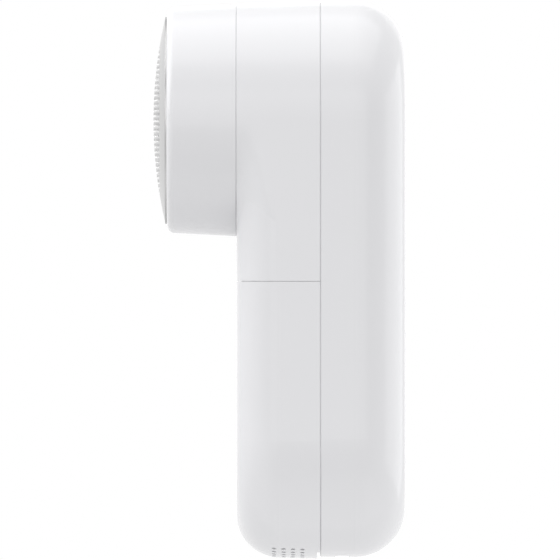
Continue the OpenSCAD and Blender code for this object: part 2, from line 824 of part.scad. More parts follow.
module cutter_chamber() {
    window_r = collar_r + past;
    color("whitesmoke") difference() {
        union() {
            turned(z_head) {
                band(collar_r - collar_t, collar_r, x_hook, x_floor_back);
                band(collar_r - collar_t, hook_r, x_front - collar_flange_t, x_front);
                band(house_r, collar_r, x_floor, x_floor_back);
                band(house_r, house_r + floor_t, x_mount, x_floor_back);
                band(can_boss_r + fit, house_r + floor_t, x_mount, x_motor);
                band(seal_d / 2 + thread_fit, seal_d / 2 + seal_wall,
                    x_mount - seal_h, x_mount + floor_t / 2);
                band(spindle_r + fit, seal_d / 2 + seal_wall, x_mount, x_mount + floor_t / 4);
            }
            for (i = [0:lug_count - 1]) {
                middle = i * 360 / lug_count;
                turned(z_head, lug_arc + 2 * hook_over, middle - lug_arc / 2 - hook_over)
                    band(collar_r - collar_t / 2, hook_r, x_hook, x_hook + lug_t);
                turned(z_head, stop_arc, middle + (lug_arc + hook_over) / 2)
                    band(collar_r - collar_t / 2, hook_r, x_hook, x_lug + lug_t);
            }
        }
        translate([x_front + wall + fit, -chute_w / 2, z_head - window_r])
            cube([chamber_d - wall - fit - floor_t / 2, chute_w, window_r / 2]);
        for (spot = chamber_spots)
            bar(x_floor - past, spot[0], spot[1], screw_d / 2 + fit, floor_t + 2 * past);
        for (spot = motor_spots)
            bar(x_mount - past, spot[0], spot[1], small_screw_d / 2 + fit, floor_t + 2 * past);
    }
}

module chamber_screws() {
    color("dimgray") for (spot = chamber_spots)
        screw(x_floor, spot, screw_d, screw_head_d, screw_head_h, screw_len);
}

// Motor

module motor_outline(inset) {
    intersection() {
        circle(motor_r - inset);
        square([motor_flat_w - 2 * inset, motor_d + past], center = true);
    }
}

module motor_can() {
    boss_len = bush_len - can_t;
    color("silver") difference() {
        translate([0, 0, z_head]) union() {
            plate(x_motor, can_len) motor_outline(0);
            plate(x_motor - boss_len, boss_len + can_t / 2) circle(can_boss_r);
        }
        translate([0, 0, z_head]) plate(x_motor + can_t, can_len) motor_outline(can_t);
        bar(x_motor - boss_len, 0, z_head, bush_r + thread_fit, bush_len + past);
        bar(x_motor - boss_len - past, 0, z_head, shaft_r + fit, can_len);
        for (spot = motor_spots)
            bar(x_motor - past, spot[0], spot[1], small_screw_d / 2 + thread_fit, can_len);
    }
}

module motor_magnets() {
    outer = motor_r - can_t - thread_fit;
    color("dimgray") for (middle = [90, 270]) turned(z_head, magnet_arc, middle - magnet_arc / 2)
        band(outer - magnet_t, outer, x_stack - magnet_over, x_stack + armature_len + magnet_over);
}

module pole_outline() {
    outer = armature_d / 2;
    circle(pole_hub_r);
    for (i = [0:pole_count - 1]) rotate(i * 360 / pole_count) {
        translate([0, -pole_w / 2]) square([outer - shoe_t / 2, pole_w]);
        intersection() {
            difference() {
                circle(outer);
                circle(outer - shoe_t);
            }
            polygon([[0, 0], outer * 2 * [cos(shoe_arc / 2), sin(shoe_arc / 2)],
                outer * 2 * [cos(shoe_arc / 2), -sin(shoe_arc / 2)]]);
        }
    }
}

module motor_armature() {
    color("slategray") translate([0, 0, z_head]) plate(x_stack, armature_len) difference() {
        pole_outline();
        circle(shaft_r + thread_fit);
    }
}

module motor_windings() {
    width = pole_w + 2 * (winding_gap + winding_t);
    inner = pole_hub_r + winding_gap;
    shoe_r = armature_d / 2 - shoe_t;
    depth = sqrt(shoe_r * shoe_r - width * width / 4) - winding_gap - inner;
    color("peru") translate([0, 0, z_head]) for (i = [0:pole_count - 1])
        rotate([i * 360 / pole_count, 0, 0]) difference() {
            translate([x_stack - end_turn, inner, -width / 2])
                cube([armature_len + 2 * end_turn, depth, width]);
            translate([x_stack - winding_gap, inner - past, -pole_w / 2 - winding_gap])
                cube([armature_len + 2 * winding_gap, depth + 2 * past, pole_w + 2 * winding_gap]);
        }
}

module motor_shaft() {
    color("silver") bar(x_motor - shaft_out + fit, 0, z_head, shaft_r,
        shaft_out + can_len + bell_len - fit - can_t);
}

module motor_commutator() {
    slit = [commutator_len + 2 * past, commutator_r / 2, leaf_t];
    color("peru") difference() {
        turned(z_head) band(shaft_r + thread_fit, commutator_r, x_bell - commutator_len, x_bell);
        for (i = [0:pole_count - 1]) translate([0, 0, z_head]) rotate([(i + 0.5) * 360 / pole_count, 0, 0])
            translate([x_bell - commutator_len - past, commutator_r - slit[1] / 2, -slit[2] / 2]) cube(slit);
    }
}

module motor_bushes() {
    color("goldenrod") turned(z_head) {
        band(shaft_r + shaft_fit, bush_r, x_motor + can_t - bush_len, x_motor + can_t);
        band(shaft_r + shaft_fit, bush_r, x_motor_end - can_t - bush_len, x_motor_end - can_t);
    }
}

module motor_end_bell() {
    slit = [3 * bell_t, leaf_t + 2 * fit, leaf_w + 2 * fit];
    color("white") difference() {
        translate([0, 0, z_head]) union() {
            difference() {
                plate(x_bell, bell_len) motor_outline(0);
                plate(x_bell - past, bell_len + past - bell_t) motor_outline(bell_t);
            }
            plate(x_motor_end - can_t - bush_len, bush_len) circle(can_boss_r);
        }
        bar(x_motor_end - can_t - bush_len - past, 0, z_head, bush_r + thread_fit, bush_len + past);
        bar(x_motor_end - can_t - bush_len - past, 0, z_head, shaft_r + fit, bush_len + past + can_t / 2);
        for (side = [-1, 1])
            translate([x_motor_end - 2 * bell_t, side * terminal_y - slit[1] / 2, z_head - slit[2] / 2])
                cube(slit);
    }
}

// Leaf brushes that touch the commutator, with the tabs that the leads are soldered to
module motor_brushes() {
    tip = terminal_y - commutator_r - fit / 2;
    x_leaf = x_bell - (commutator_len + leaf_w) / 2;
    color("goldenrod") for (side = [-1, 1]) {
        translate([x_leaf, side * terminal_y - leaf_t / 2, z_head - leaf_w / 2])
            cube([x_motor_end + terminal_out - x_leaf, leaf_t, leaf_w]);
        translate([x_leaf, side > 0 ? terminal_y - tip : -terminal_y, z_head - leaf_w / 2])
            cube([leaf_w, tip, leaf_w]);
    }
}

module motor_screws() {
    color("dimgray") for (spot = motor_spots)
        screw(x_mount, spot, small_screw_d, small_head_d, small_head_h, floor_t + can_t);
}

module motor_damper() {
    color("black") translate([0, 0, z_head]) plate(x_chassis, chassis_t + ring_len) difference() {
        circle(damper_r);
        motor_outline(-thread_fit);
    }
}

// Housing

module upper_shell() {
    x_end = x_seam - seam_gap / 2;
    z_floor = z_split + bin_gap / 2;
    chute_back = x_floor_back + chute_t;
    chute_half = chute_w / 2 + chute_t;
    chute_top = z_head - sqrt(collar_r * collar_r - chute_half * chute_half);
    color("white") difference() {
        union() {
            difference() {
                union() {
                    turned(z_head) difference() {
                        front_cone(0, x_end);
                        corner_cut(side_r(x_front), x_front);
                        corner_cut(side_r(x_end), x_end);
                    }
                    straight(z_floor, z_head) translate([-blend, 0]) difference() {
                        front_half(0, x_end);
                        corner_cut(side_r(x_end), x_end);
                    }
                }
                turned(z_head) front_cone(wall, x_seam + past);
                straight(z_floor + wall, z_head) translate([-blend, 0]) front_half(wall, x_seam + past);
                straight(z_floor - past, z_head) rim_space();
                turned(z_head) rim_space();
                bar(x_front - past, 0, z_head, seat_hole_r, wall + 2 * past);
            }
            straight(z_floor - lip_drop, z_floor + wall / 2) lip_path(0);
            difference() {
                translate([x_front + wall / 2, -chute_half, z_floor + wall / 2])
                    cube([chute_back - x_front - wall / 2, 2 * chute_half, chute_top - z_floor - wall / 2]);
                translate([x_front + wall, -chute_w / 2, z_floor])
                    cube([x_floor_back - x_front - wall, chute_w, split_drop]);
                bar(x_front - past, 0, z_head, seat_hole_r, chute_back - x_front + 2 * past);
            }
        }
        translate([x_front + wall, -chute_w / 2, z_floor - lip_drop - past])
            cube([x_floor_back - x_front - wall, chute_w, lip_drop + wall + 2 * past]);
    }
}

module back_shell() {
    x_start = x_seam + seam_gap / 2;
    cradle_w = cell_d + 2 * rib_w;
    x_rib = x_cell + cell_r / 4;
    x_stop = x_cell + cell_r / 2;
    color("white") difference() {
        union() {
            pill(z_low, z_head) difference() {
                back_half(0, x_start);
                back_half(wall);
                rim_space();
                corner_cut(body_r, x_start);
            }
            intersection() {
                union() {
                    for (spot = chassis_spots)
                        bar(x_chassis_back, spot[0], spot[1], post_r, x_back - x_chassis_back);
                    for (spot = board_spots)
                        bar(x_board + board_t, spot[0], spot[1], small_post_r, x_back - x_board - board_t);
                    for (spot = charge_spots)
                        bar(x_charge + board_t, spot[0], spot[1], small_post_r, x_back - x_charge - board_t);
                    for (level = rib_levels) translate([x_rib, -cradle_w / 2, level - rib_t / 2])
                        cube([x_back - x_rib, cradle_w, rib_t]);
                    for (level = [z_cell - tab_t - fit - rib_t, z_cell + cell_len + tab_t + fit])
                        translate([x_stop, -cell_r / 2, level]) cube([x_back - x_stop, cell_r, rib_t]);
                }
                pill(z_low, z_head) back_half(wall / 2, x_seam);
            }
        }
        for (spot = chassis_spots)
            bar(x_chassis_back - past, spot[0], spot[1], screw_d / 2 + thread_fit, screw_len + past);
        for (spot = board_spots)
            bar(x_board, spot[0], spot[1], small_screw_d / 2 + thread_fit, small_screw_len);
        for (spot = charge_spots)
            bar(x_charge, spot[0], spot[1], small_screw_d / 2 + thread_fit, small_screw_len + board_t);
        translate([x_cell, 0, z_cell - fit / 2]) cylinder(r = cell_r + fit, h = cell_len + fit);
        bar(x_back_in - past, 0, z_button, button_r + fit, wall + 2 * past);
        bar(x_back_in - past, 0, z_indicator, pipe_r + fit / 2, wall + 2 * past);
        translate([x_charge - socket_t / 2, 0, bin_drop - past])
            linear_extrude(wall + 2 * past) socket_outline(fit);
    }
}

module chassis() {
    motor_hole_r = ring_r + ring_t;
    color("lightgray") difference() {
        union() {
            pill(z_low, z_head) band(0, chassis_r, x_chassis, x_chassis_back);
            bar(x_chassis, 0, z_head, motor_hole_r, chassis_t + ring_len);
            for (spot = chamber_spots)
                bar(x_floor_back, spot[0], spot[1], post_r, x_chassis - x_floor_back + chassis_front_t / 2);
            at_rails(rail_low, rail_high) rail_outline(0, x_chassis + chassis_front_t / 2);
            for (level = rib_levels) difference() {
                translate([x_seam, -cell_r, level - rib_t / 2])
                    cube([x_cell - x_seam - cell_r / 2, cell_d, rib_t]);
                translate([x_cell, 0, level - rib_t]) cylinder(r = cell_r + fit, h = 2 * rib_t);
            }
        }
        bar(x_chassis - past, 0, z_head, ring_r, chassis_t + ring_len + 2 * past);
        for (spot = chassis_spots) {
            bar(x_chassis - past, spot[0], spot[1], screw_d / 2 + fit, chassis_t + 2 * past);
            bar(x_chassis - past, spot[0], spot[1], screw_head_d / 2 + fit, screw_head_h + past);
        }
        for (spot = chamber_spots)
            bar(x_floor_back - past, spot[0], spot[1], screw_d / 2 + thread_fit, screw_len - floor_t + past);
    }
}

module chassis_screws() {
    color("dimgray") for (spot = chassis_spots)
        screw(x_chassis + screw_head_h, spot, screw_d, screw_head_d, screw_head_h, screw_len);
}

// Half profile of the lip under the upper shell, grown all round
module lip_path(grow) {
    inset = bin_wall / 2 + rail_fit;
    x_end = x_chassis - fit;
    difference() {
        front_half(inset - grow, x_end);
        front_half(inset + lip_wall + grow, x_end + past);
    }
}

// Half profile of the bin's walls: front, sides and back, with the edge that laps the chassis rim
module bin_walls() {
    x_end = x_seam - seam_gap / 2;
    difference() {
        front_half(0, x_end);
        front_half(bin_wall, x_bin_back - bin_back_t);
        intersection() {
            front_half(bin_wall, x_seam);
            band(0, body_w, x_bin_back, x_seam);
        }
        rim_space();
        corner_cut(side_r(x_end), x_end);
    }
}

// Outline of a rail grown all round, as (across, X) from the rail's middle
module rail_outline(grow, x_root) {
    web = rail_web_t / 2 + grow;
    head = rail_head_w / 2 + grow;
    translate([-web, x_rail_head]) square([2 * web, x_root - x_rail_head]);
    translate([-head, x_rail_head - grow]) square([2 * head, rail_head_t + 2 * grow]);
}

// Draws an outline (across, X) out along Z at both rails
module at_rails(low, high) {
    for (side = [-1, 1]) translate([0, side * rail_y, high])
        rotate([180, 0, 90]) linear_extrude(high - low) children();
}

module lint_bin() {
    z_top = on_grid(z_split - bin_gap / 2);
    row_angle = vent_pitch / body_r * 180 / PI;
    channel_half = rail_head_w / 2 + rail_fit + channel_t;
    x_channel = x_rail_head - rail_fit - channel_t;
    color("white") difference() {
        union() {
            turned(z_bin, 180, 180) bin_walls();
            straight(z_bin, z_top) bin_walls();
            at_rails(rail_low - rail_fit - channel_t, z_top)
                band(-channel_half, channel_half, x_channel, x_bin_back);
        }
        at_rails(rail_low - rail_fit, z_top + past) rail_outline(rail_fit, x_bin_back + past);
        straight(z_top - lip_drop - rail_fit, z_top + past) lip_path(rail_fit);
        for (row = [0:vent_rows - 1], column = [0:vent_columns - 1])
            translate([x_front + vent_front + column * vent_pitch, 0, z_bin])
                rotate([(row - (vent_rows - 1) / 2) * row_angle, 0, 0])
                    translate([0, 0, -body_r - past]) cylinder(r = vent_d / 2, h = bin_wall + 3 * past);
        translate([x_seam - seam_gap / 2 - notch_t, -notch_w / 2, -past])
            cube([notch_t + past, notch_w, notch_h + past]);
    }
}

// Electrics

module battery_cell() {
    color("mediumseagreen") translate([x_cell, 0, z_cell]) {
        cylinder(r = cell_r, h = cell_len - cap_h - shoulder);
        cylinder(r = cell_r - shoulder, h = cell_len - cap_h);
        cylinder(r = cap_d / 2, h = cell_len);
    }
}

module battery_tabs() {
    color("silver") for (level = [z_cell - tab_t, z_cell + cell_len])
        translate([tab_x, -tab_w / 2, level]) cube([tab_len, tab_w, tab_t]);
}

module control_board() {
    color("darkgreen") difference() {
        translate([x_board, -board_w / 2, board_low]) cube([board_t, board_w, board_high - board_low]);
        for (spot = board_spots)
            bar(x_board - past, spot[0], spot[1], small_screw_d / 2 + fit / 2, board_t + 2 * past);
    }
}

// A block for two leads on the front of a board, from its lower edge at z
module lead_plug(x, y, z) {
    translate([x - plug_t, y - plug_w / 2, z]) cube([plug_t, plug_w, plug_h]);
}

module board_parts() {
    chip = [1.2, 5, 4];
    choke = [2.4, 5, 5];
    can = [3, 2.2];
    z_choke = board_low + plug_edge + choke[2] / 2;
    color("black") {
        translate([x_board - chip[0], -chip[1] / 2, z_button - chip[2] / 4]) cube(chip);
        translate([x_board - choke[0], choke[1] / 5, z_choke]) cube(choke);
        bar(x_board - can[0], -2 * can[1], z_choke + choke[2] / 2, can[1], can[0]);
        for (side = [-1, 1]) {
            lead_plug(x_board, side * plug_y, z_board_plug);
            lead_plug(x_board, side * motor_plug_y, z_motor_plug);
        }
        lead_plug(x_charge, 0, z_charge_plug);
    }
}

module charge_board() {
    color("darkgreen") difference() {
        translate([x_charge, -charge_w / 2, charge_low]) cube([board_t, charge_w, charge_high - charge_low]);
        for (spot = charge_spots)
            bar(x_charge - past, spot[0], spot[1], small_screw_d / 2 + fit / 2, board_t + 2 * past);
    }
}

// Rounded outline of the charge socket, across the port
module socket_outline(grow) {
    thickness = socket_t + 2 * grow;
    half = (socket_w - socket_t) / 2;
    square([thickness, 2 * half], center = true);
    for (side = [-1, 1]) translate([0, side * half]) circle(thickness / 2);
}

module charge_socket() {
    color("silver") translate([x_charge - socket_t / 2, 0, z_socket]) difference() {
        linear_extrude(socket_len) socket_outline(0);
        translate([0, 0, -past]) linear_extrude(socket_len + past - socket_floor)
            socket_outline(-socket_sheet);
    }
}

module charge_tongue() {
    color("black") translate([x_charge - (socket_t + tongue_t) / 2, -tongue_w / 2, z_socket + tongue_set])
        cube([tongue_t, tongue_w, socket_len - socket_floor - tongue_set]);
}

module board_screws() {
    color("dimgray") {
        for (spot = board_spots)
            screw(x_board, spot, small_screw_d, small_head_d, small_head_h, small_screw_len);
        for (spot = charge_spots)
            screw(x_charge, spot, small_screw_d, small_head_d, small_head_h, small_screw_len + board_t);
    }
}

module tact_switch() {
    color("black") difference() {
        translate([x_board + board_t, -switch_w / 2, z_button - switch_w / 2])
            cube([switch_h, switch_w, switch_w]);
        bar(x_board + board_t + switch_floor, 0, z_button, plunger_r + plunger_fit, switch_h);
    }
}

module switch_plunger() {
    x_inner = x_board + board_t + switch_floor + button_travel + plunger_fit;
    color("ivory") bar(x_inner, 0, z_button, plunger_r, x_button_rim - thread_fit - x_inner);
}

module power_button() {
    dish_r = (button_r * button_r + button_dish * button_dish) / (2 * button_dish);
    x_face = x_back - button_sink;
    color("white") difference() {
        union() {
            bar(x_button_rim, 0, z_button, button_r + button_rim_w, button_rim_t);
            bar(x_button_rim, 0, z_button, button_r, x_face - x_button_rim);
        }
        translate([x_face - button_dish + dish_r, 0, z_button]) sphere(dish_r, $fn = 200);
    }
}

module indicator_led() {
    color("lightyellow") translate([x_board + board_t, -led_w / 2, z_indicator - led_w / 2])
        cube([led_t, led_w, led_w]);
}

module light_pipe() {
    x_start = x_board + board_t + led_t + fit;
    color("white") {
        bar(x_start, 0, z_indicator, pipe_r, x_back - fit / 2 - x_start);
        bar(x_back_in - fit / 2 - pipe_collar_t, 0, z_indicator, pipe_r + pipe_collar, pipe_collar_t);
    }
}

module motor_leads() {
    lead_x = x_board - plug_t / 2;
    color("firebrick") for (side = [-1, 1]) lead([
        [x_motor_end + terminal_out - lead_d / 2,
            side * (terminal_y + leaf_t / 2 + lead_d / 2 + lead_seat), z_head],
        [x_motor_end + terminal_out + lead_bend, side * (motor_plug_y + leaf_t), z_head - lead_d / 2],
        [lead_x - lead_d, side * (motor_plug_y + leaf_t), z_head - lead_bend],
        [lead_x, side * motor_plug_y, z_head - 2 * lead_bend],
        [lead_x, side * motor_plug_y, z_motor_plug + plug_h + lead_seat]]);
}

module battery_leads() {
    x_start = tab_x + lead_bend;
    z_top = z_cell + cell_len;
    color("firebrick") {
        lead([[x_start, -lead_d, z_top + tab_t + lead_d / 2 + lead_seat],
            [x_start + lead_bend, -2 * lead_bend, z_top + lead_bend],
            [x_board - plug_t, lead_d - plug_y, z_top + 2 * lead_bend],
            [x_board - plug_ways[0], -plug_y, board_low - 1.5 * lead_bend],
            [x_board - plug_ways[0], -plug_y, z_board_plug - lead_seat]]);
        lead([[x_start, -lead_d, z_cell - tab_t - lead_d / 2 - lead_seat],
            [x_start + lead_bend, -4 * lead_bend, z_cell - 2 * lead_bend],
            [x_cell - lead_d, lead_d - lead_y, z_cell - lead_bend],
            [x_cell, -lead_y, z_cell + 2 * lead_bend],
            [x_cell, -lead_y, z_cell + cell_len / 2],
            [x_cell + lead_d, lead_d - lead_y, z_top - lead_bend],
            [x_board - plug_ways[1], -plug_y, board_low - 1.5 * lead_bend],
            [x_board - plug_ways[1], -plug_y, z_board_plug - lead_seat]]);
    }
}

module charge_leads() {
    z_bend = charge_high + lead_bend;
    color("black") for (way = plug_ways) lead([
        [x_charge - way, 0, z_charge_plug + plug_h + lead_seat],
        [x_charge - way, lead_d, z_bend - lead_d / 2],
        [x_charge - way + lead_d, lead_side, z_bend + lead_d / 2],
        [x_cell - way, lead_y, z_cell + lead_bend],
        [x_cell - way, lead_y, z_cell + cell_len / 2],
        [x_cell - way + lead_d, lead_y - lead_d, z_cell + cell_len - lead_bend],
        [x_board - way, plug_y, board_low - 1.5 * lead_bend],
        [x_board - way, plug_y, z_board_plug - lead_seat]]);
}

head_cover();
foil_screen();
foil_retainer();
cutter_wheel();
cutter_blades();
float_spring();
drive_spindle();
shaft_seal();
cutter_chamber();
chamber_screws();
motor_can();
motor_magnets();
motor_armature();
motor_windings();
motor_shaft();
motor_commutator();
motor_bushes();
motor_end_bell();
motor_brushes();
motor_screws();
motor_damper();
upper_shell();
back_shell();
chassis();
chassis_screws();
lint_bin();
battery_cell();
battery_tabs();
control_board();
board_parts();
charge_board();
charge_socket();
charge_tongue();
board_screws();
tact_switch();
switch_plunger();
power_button();
indicator_led();
light_pipe();
motor_leads();
battery_leads();
charge_leads();
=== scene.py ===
"""Looks of the cordless fabric shaver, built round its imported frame.

Every length is in metres. +Z runs up the housing, the cutting head faces -X and the camera stands at -Y.
"""
import json
import math

import bpy
import numpy as np
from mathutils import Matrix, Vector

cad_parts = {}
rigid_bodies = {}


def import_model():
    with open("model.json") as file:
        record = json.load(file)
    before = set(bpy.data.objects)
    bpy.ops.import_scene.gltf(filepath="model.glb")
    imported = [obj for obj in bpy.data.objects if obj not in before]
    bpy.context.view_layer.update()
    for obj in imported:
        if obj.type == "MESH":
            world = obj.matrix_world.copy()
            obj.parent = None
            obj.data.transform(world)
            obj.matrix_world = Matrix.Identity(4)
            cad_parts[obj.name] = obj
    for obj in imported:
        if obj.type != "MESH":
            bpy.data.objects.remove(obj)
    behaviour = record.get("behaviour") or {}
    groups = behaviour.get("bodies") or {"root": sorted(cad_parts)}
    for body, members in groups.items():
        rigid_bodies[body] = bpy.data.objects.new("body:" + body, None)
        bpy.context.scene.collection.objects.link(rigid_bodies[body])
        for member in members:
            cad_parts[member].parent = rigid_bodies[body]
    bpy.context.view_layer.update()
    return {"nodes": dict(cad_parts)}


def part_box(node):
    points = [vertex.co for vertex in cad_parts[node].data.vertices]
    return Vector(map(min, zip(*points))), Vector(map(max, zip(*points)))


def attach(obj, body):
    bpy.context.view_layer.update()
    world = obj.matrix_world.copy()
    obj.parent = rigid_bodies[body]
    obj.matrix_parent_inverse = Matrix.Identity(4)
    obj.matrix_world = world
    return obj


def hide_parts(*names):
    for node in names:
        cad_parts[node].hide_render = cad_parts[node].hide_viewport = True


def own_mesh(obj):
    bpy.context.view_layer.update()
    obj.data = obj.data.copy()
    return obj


for leftover in list(bpy.data.objects):
    bpy.data.objects.remove(leftover)
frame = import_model()

SCENE = bpy.context.scene
MM = 0.001
TINY = 1e-6


def corners(node):
    """A node's lowest and highest corners, as arrays."""
    return [np.array(corner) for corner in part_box(node)]


HEAD_Z = np.mean(corners("head_cover"), axis=0)[2]
SKIRT_AHEAD = 0.4 * MM
SKIRT_X = corners("head_cover")[0][0] - SKIRT_AHEAD


# Finishes

WAVE_PITCH = math.tau / 20


class Nodes:
    """A node tree in the making."""

    def __init__(self, tree):
        self.tree = tree

    def node(self, kind, inputs=None, **settings):
        """One node: settings are its options, inputs are what its sockets take, by name or number."""
        made = self.tree.nodes.new(kind)
        for key, value in settings.items():
            setattr(made, key, value)
        for key, value in (inputs or {}).items():
            self.give(made.inputs[key], value)
        return made

    def give(self, socket, value):
        """A socket takes a link to another node's output, or else a plain value or colour."""
        if isinstance(value, bpy.types.NodeSocket):
            self.tree.links.new(value, socket)
        elif socket.type == "RGBA":
            socket.default_value = (*value, 1)
        else:
            socket.default_value = value

    def seen_or_cast(self, seen, cast):
        """One strength for camera, glossy and transmission rays, and another for the light that is cast."""
        path = self.node("ShaderNodeLightPath").outputs
        most = path["Is Camera Ray"]
        for ray in ("Is Glossy Ray", "Is Transmission Ray"):
            most = self.node("ShaderNodeMath", {0: most, 1: path[ray]}, operation="MAXIMUM").outputs[0]
        inputs = {"Value": most, "To Min": cast, "To Max": seen}
        return self.node("ShaderNodeMapRange", inputs).outputs["Result"]


class Finish(Nodes):
    """A procedural material in the making: one surface shader and patterns on the piece's own coordinates."""

    def __init__(self, name, **sockets):
        self.material = bpy.data.materials.new(name)
        self.material.use_nodes = True
        super().__init__(self.material.node_tree)
        self.tree.nodes.clear()
        self.shader = self.node("ShaderNodeBsdfPrincipled")
        self.node("ShaderNodeOutputMaterial", {"Surface": self.shader.outputs[0]})
        self.place = self.node("ShaderNodeTexCoord").outputs["Object"]
        self.shade(**sockets)

    def shade(self, **sockets):
        """Gives the surface shader its colour, roughness or normal, with spaces for underscores."""
        for key, value in sockets.items():
            self.give(self.shader.inputs[key.replace("_", " ")], value)

    def stretched(self, scale=(1, 1, 1), shift=(0, 0, 0), turn=(0, 0, 0)):
        """The piece's coordinates, stretched, turned and moved."""
        inputs = {"Vector": self.place, "Location": shift, "Rotation": turn, "Scale": scale}
        return self.node("ShaderNodeMapping", inputs).outputs["Vector"]

    def spread(self, value, low, high, start=0.0, end=1.0):
        """A value between start and end carried over to low and high."""
        inputs = {"Value": value, "From Min": start, "From Max": end, "To Min": low, "To Max": high}
        return self.node("ShaderNodeMapRange", inputs).outputs["Result"]

    def clouds(self, size, detail=2, place=None):
        """Soft noise whose patches are about that size."""
        inputs = {"Vector": place or self.place, "Scale": 1 / size, "Detail": detail}
        return self.node("ShaderNodeTexNoise", inputs).outputs["Fac"]

    def waves(self, kind, axis, spacing, wobble, place):
        """Waves that far apart, scaled from the node's own pitch."""
        inputs = {"Vector": place, "Scale": WAVE_PITCH / spacing, "Distortion": wobble}
        options = {"wave_type": kind, "rings_direction": axis, "bands_direction": axis}
        return self.node("ShaderNodeTexWave", inputs, **options).outputs["Fac"]

    def head_rings(self, spacing, wobble):
        """Rings round the head's axis, that far apart."""
        return self.waves("RINGS", "X", spacing, wobble, self.stretched(shift=(0, 0, -HEAD_Z)))

    def bands(self, axis, spacing, wobble):
        """Bands across an axis, that far apart."""
        return self.waves("BANDS", axis, spacing, wobble, self.place)

    def mixed(self, factor, first, second):
        """One colour going over to another."""
        made = self.node("ShaderNodeMix", {"Factor": factor}, data_type="RGBA")
        sockets = [socket for socket in made.inputs if socket.type == "RGBA"]
        self.give(sockets[0], first)
        self.give(sockets[1], second)
        return [socket for socket in made.outputs if socket.type == "RGBA"][0]

    def plus(self, first, second, share):
        """One pattern plus a share of another."""
        inputs = {0: second, 1: share, 2: first}
        return self.node("ShaderNodeMath", inputs, operation="MULTIPLY_ADD").outputs[0]

    def bump(self, height, rise, under=None):
        """A normal tilted by a pattern of that rise, over another one where there is one."""
        inputs = {"Height": height, "Distance": rise, "Strength": 1.0}
        if under:
            inputs["Normal"] = under
        return self.node("ShaderNodeBump", inputs).outputs["Normal"]

    def round_edge(self, radius, samples):
        """The normal of a surface whose edges are rounded by that radius."""
        return self.node("ShaderNodeBevel", {"Radius": radius}, samples=samples).outputs["Normal"]


def grey(level):
    """A neutral colour."""
    return (level, level, level)


PLASTIC_IOR = 1.49
TINT_PATCH = 22 * MM
GLOSS_PATCH = 9 * MM
GLOSS_VARIES = 0.03
COOLING_WAVE = 7 * MM
COOLING_RISE = 0.004 * MM


def moulded(name, pale, deep, rough, grain=0.12 * MM, grain_rise=0.0012 * MM, **sockets):
    """Moulded plastic: faint clouds of colour, a spark-eroded grain, and the slow waves of a cooled skin."""
    made = Finish(name, IOR=PLASTIC_IOR, **sockets)
    made.shade(Base_Color=made.mixed(made.clouds(TINT_PATCH, detail=3), pale, deep))
    gloss = made.clouds(GLOSS_PATCH)
    made.shade(Roughness=made.spread(gloss, low=rough - GLOSS_VARIES, high=rough + GLOSS_VARIES))
    waves = made.bump(made.clouds(COOLING_WAVE, detail=0), COOLING_RISE)
    made.shade(Normal=made.bump(made.clouds(grain), grain_rise, under=waves))
    return made.material


TARNISH_PATCH = 5 * MM
STREAK_TINT = 0.35
STREAK_SMOOTHER = 0.06
STREAK_ROUGHER = 0.08


def metal(name, pale, deep, rough, grain, grain_rise, stretch=(1, 1, 1)):
    """Bare metal: drawn or ground streaks in colour, roughness and height, over faint clouds of tarnish."""
    made = Finish(name, Metallic=1.0)
    streaks = made.clouds(grain, detail=3, place=made.stretched(stretch))
    tarnish = made.clouds(TARNISH_PATCH, detail=3)
    made.shade(Base_Color=made.mixed(made.plus(tarnish, streaks, STREAK_TINT), pale, deep))
    made.shade(Roughness=made.spread(streaks, low=rough - STREAK_SMOOTHER, high=rough + STREAK_ROUGHER))
    made.shade(Normal=made.bump(streaks, grain_rise))
    return made.material


def turned_brass():
    """Brass off a lathe: fine rings round the motor's axis, with clouds of tarnish over them."""
    made = Finish("turned_brass", Metallic=1.0)
    grooves = made.head_rings(spacing=0.12 * MM, wobble=0.6)
    tarnish = made.clouds(size=3 * MM, detail=4)
    made.shade(Base_Color=made.mixed(tarnish, (0.66, 0.5, 0.24), (0.55, 0.4, 0.18)))
    made.shade(Roughness=made.spread(grooves, low=0.25, high=0.37))
    grain = made.bump(made.clouds(size=0.4 * MM), rise=0.001 * MM)
    made.shade(Normal=made.bump(grooves, rise=0.004 * MM, under=grain))
    return made.material


FIBRE_SIZE = 0.12 * MM
FIBRE_STRETCH = (1, 1, 7)
FIBRE_TURNS = ((0.9, 0.4, 0), (0.3, 1.1, 0.8))


def pressed_felt():
    """Felt: short fibres lying every way, as three crossed sets of stretched noise, in two tones of wool."""
    made = Finish("pressed_felt", Sheen_Weight=0.4, Sheen_Roughness=0.5)
    fibres = made.clouds(FIBRE_SIZE, detail=3, place=made.stretched(FIBRE_STRETCH))
    for turn in FIBRE_TURNS:
        crossed = made.clouds(FIBRE_SIZE, detail=3, place=made.stretched(FIBRE_STRETCH, turn=turn))
        fibres = made.plus(fibres, crossed, share=0.7)
    tone = made.spread(fibres, low=0.0, high=1.0, start=0.7, end=1.7)
    made.shade(Base_Color=made.mixed(tone, (0.2, 0.18, 0.15), (0.46, 0.43, 0.37)))
    made.shade(Roughness=made.spread(fibres, low=0.85, high=1.0))
    made.shade(Normal=made.bump(fibres, rise=0.06 * MM))
    return made.material


def circuit_board():
    """Solder mask over copper: tracks that run up and across show paler and stand a hair proud of it."""
    made = Finish("circuit_board")
    upright = made.bands("Y", spacing=1.3 * MM, wobble=0.4)
    level = made.bands("Z", spacing=1.9 * MM, wobble=0.4)
    copper = made.spread(made.plus(upright, level, share=0.8), low=0.0, high=1.0, start=1.18, end=1.24)
    weave = made.clouds(size=0.3 * MM)
    mask = made.mixed(weave, (0.012, 0.1, 0.04), (0.018, 0.13, 0.055))
    made.shade(Base_Color=made.mixed(copper, mask, (0.05, 0.24, 0.09)))
    made.shade(Roughness=made.spread(weave, low=0.25, high=0.4))
    made.shade(Normal=made.bump(copper, rise=0.03 * MM))
    return made.material


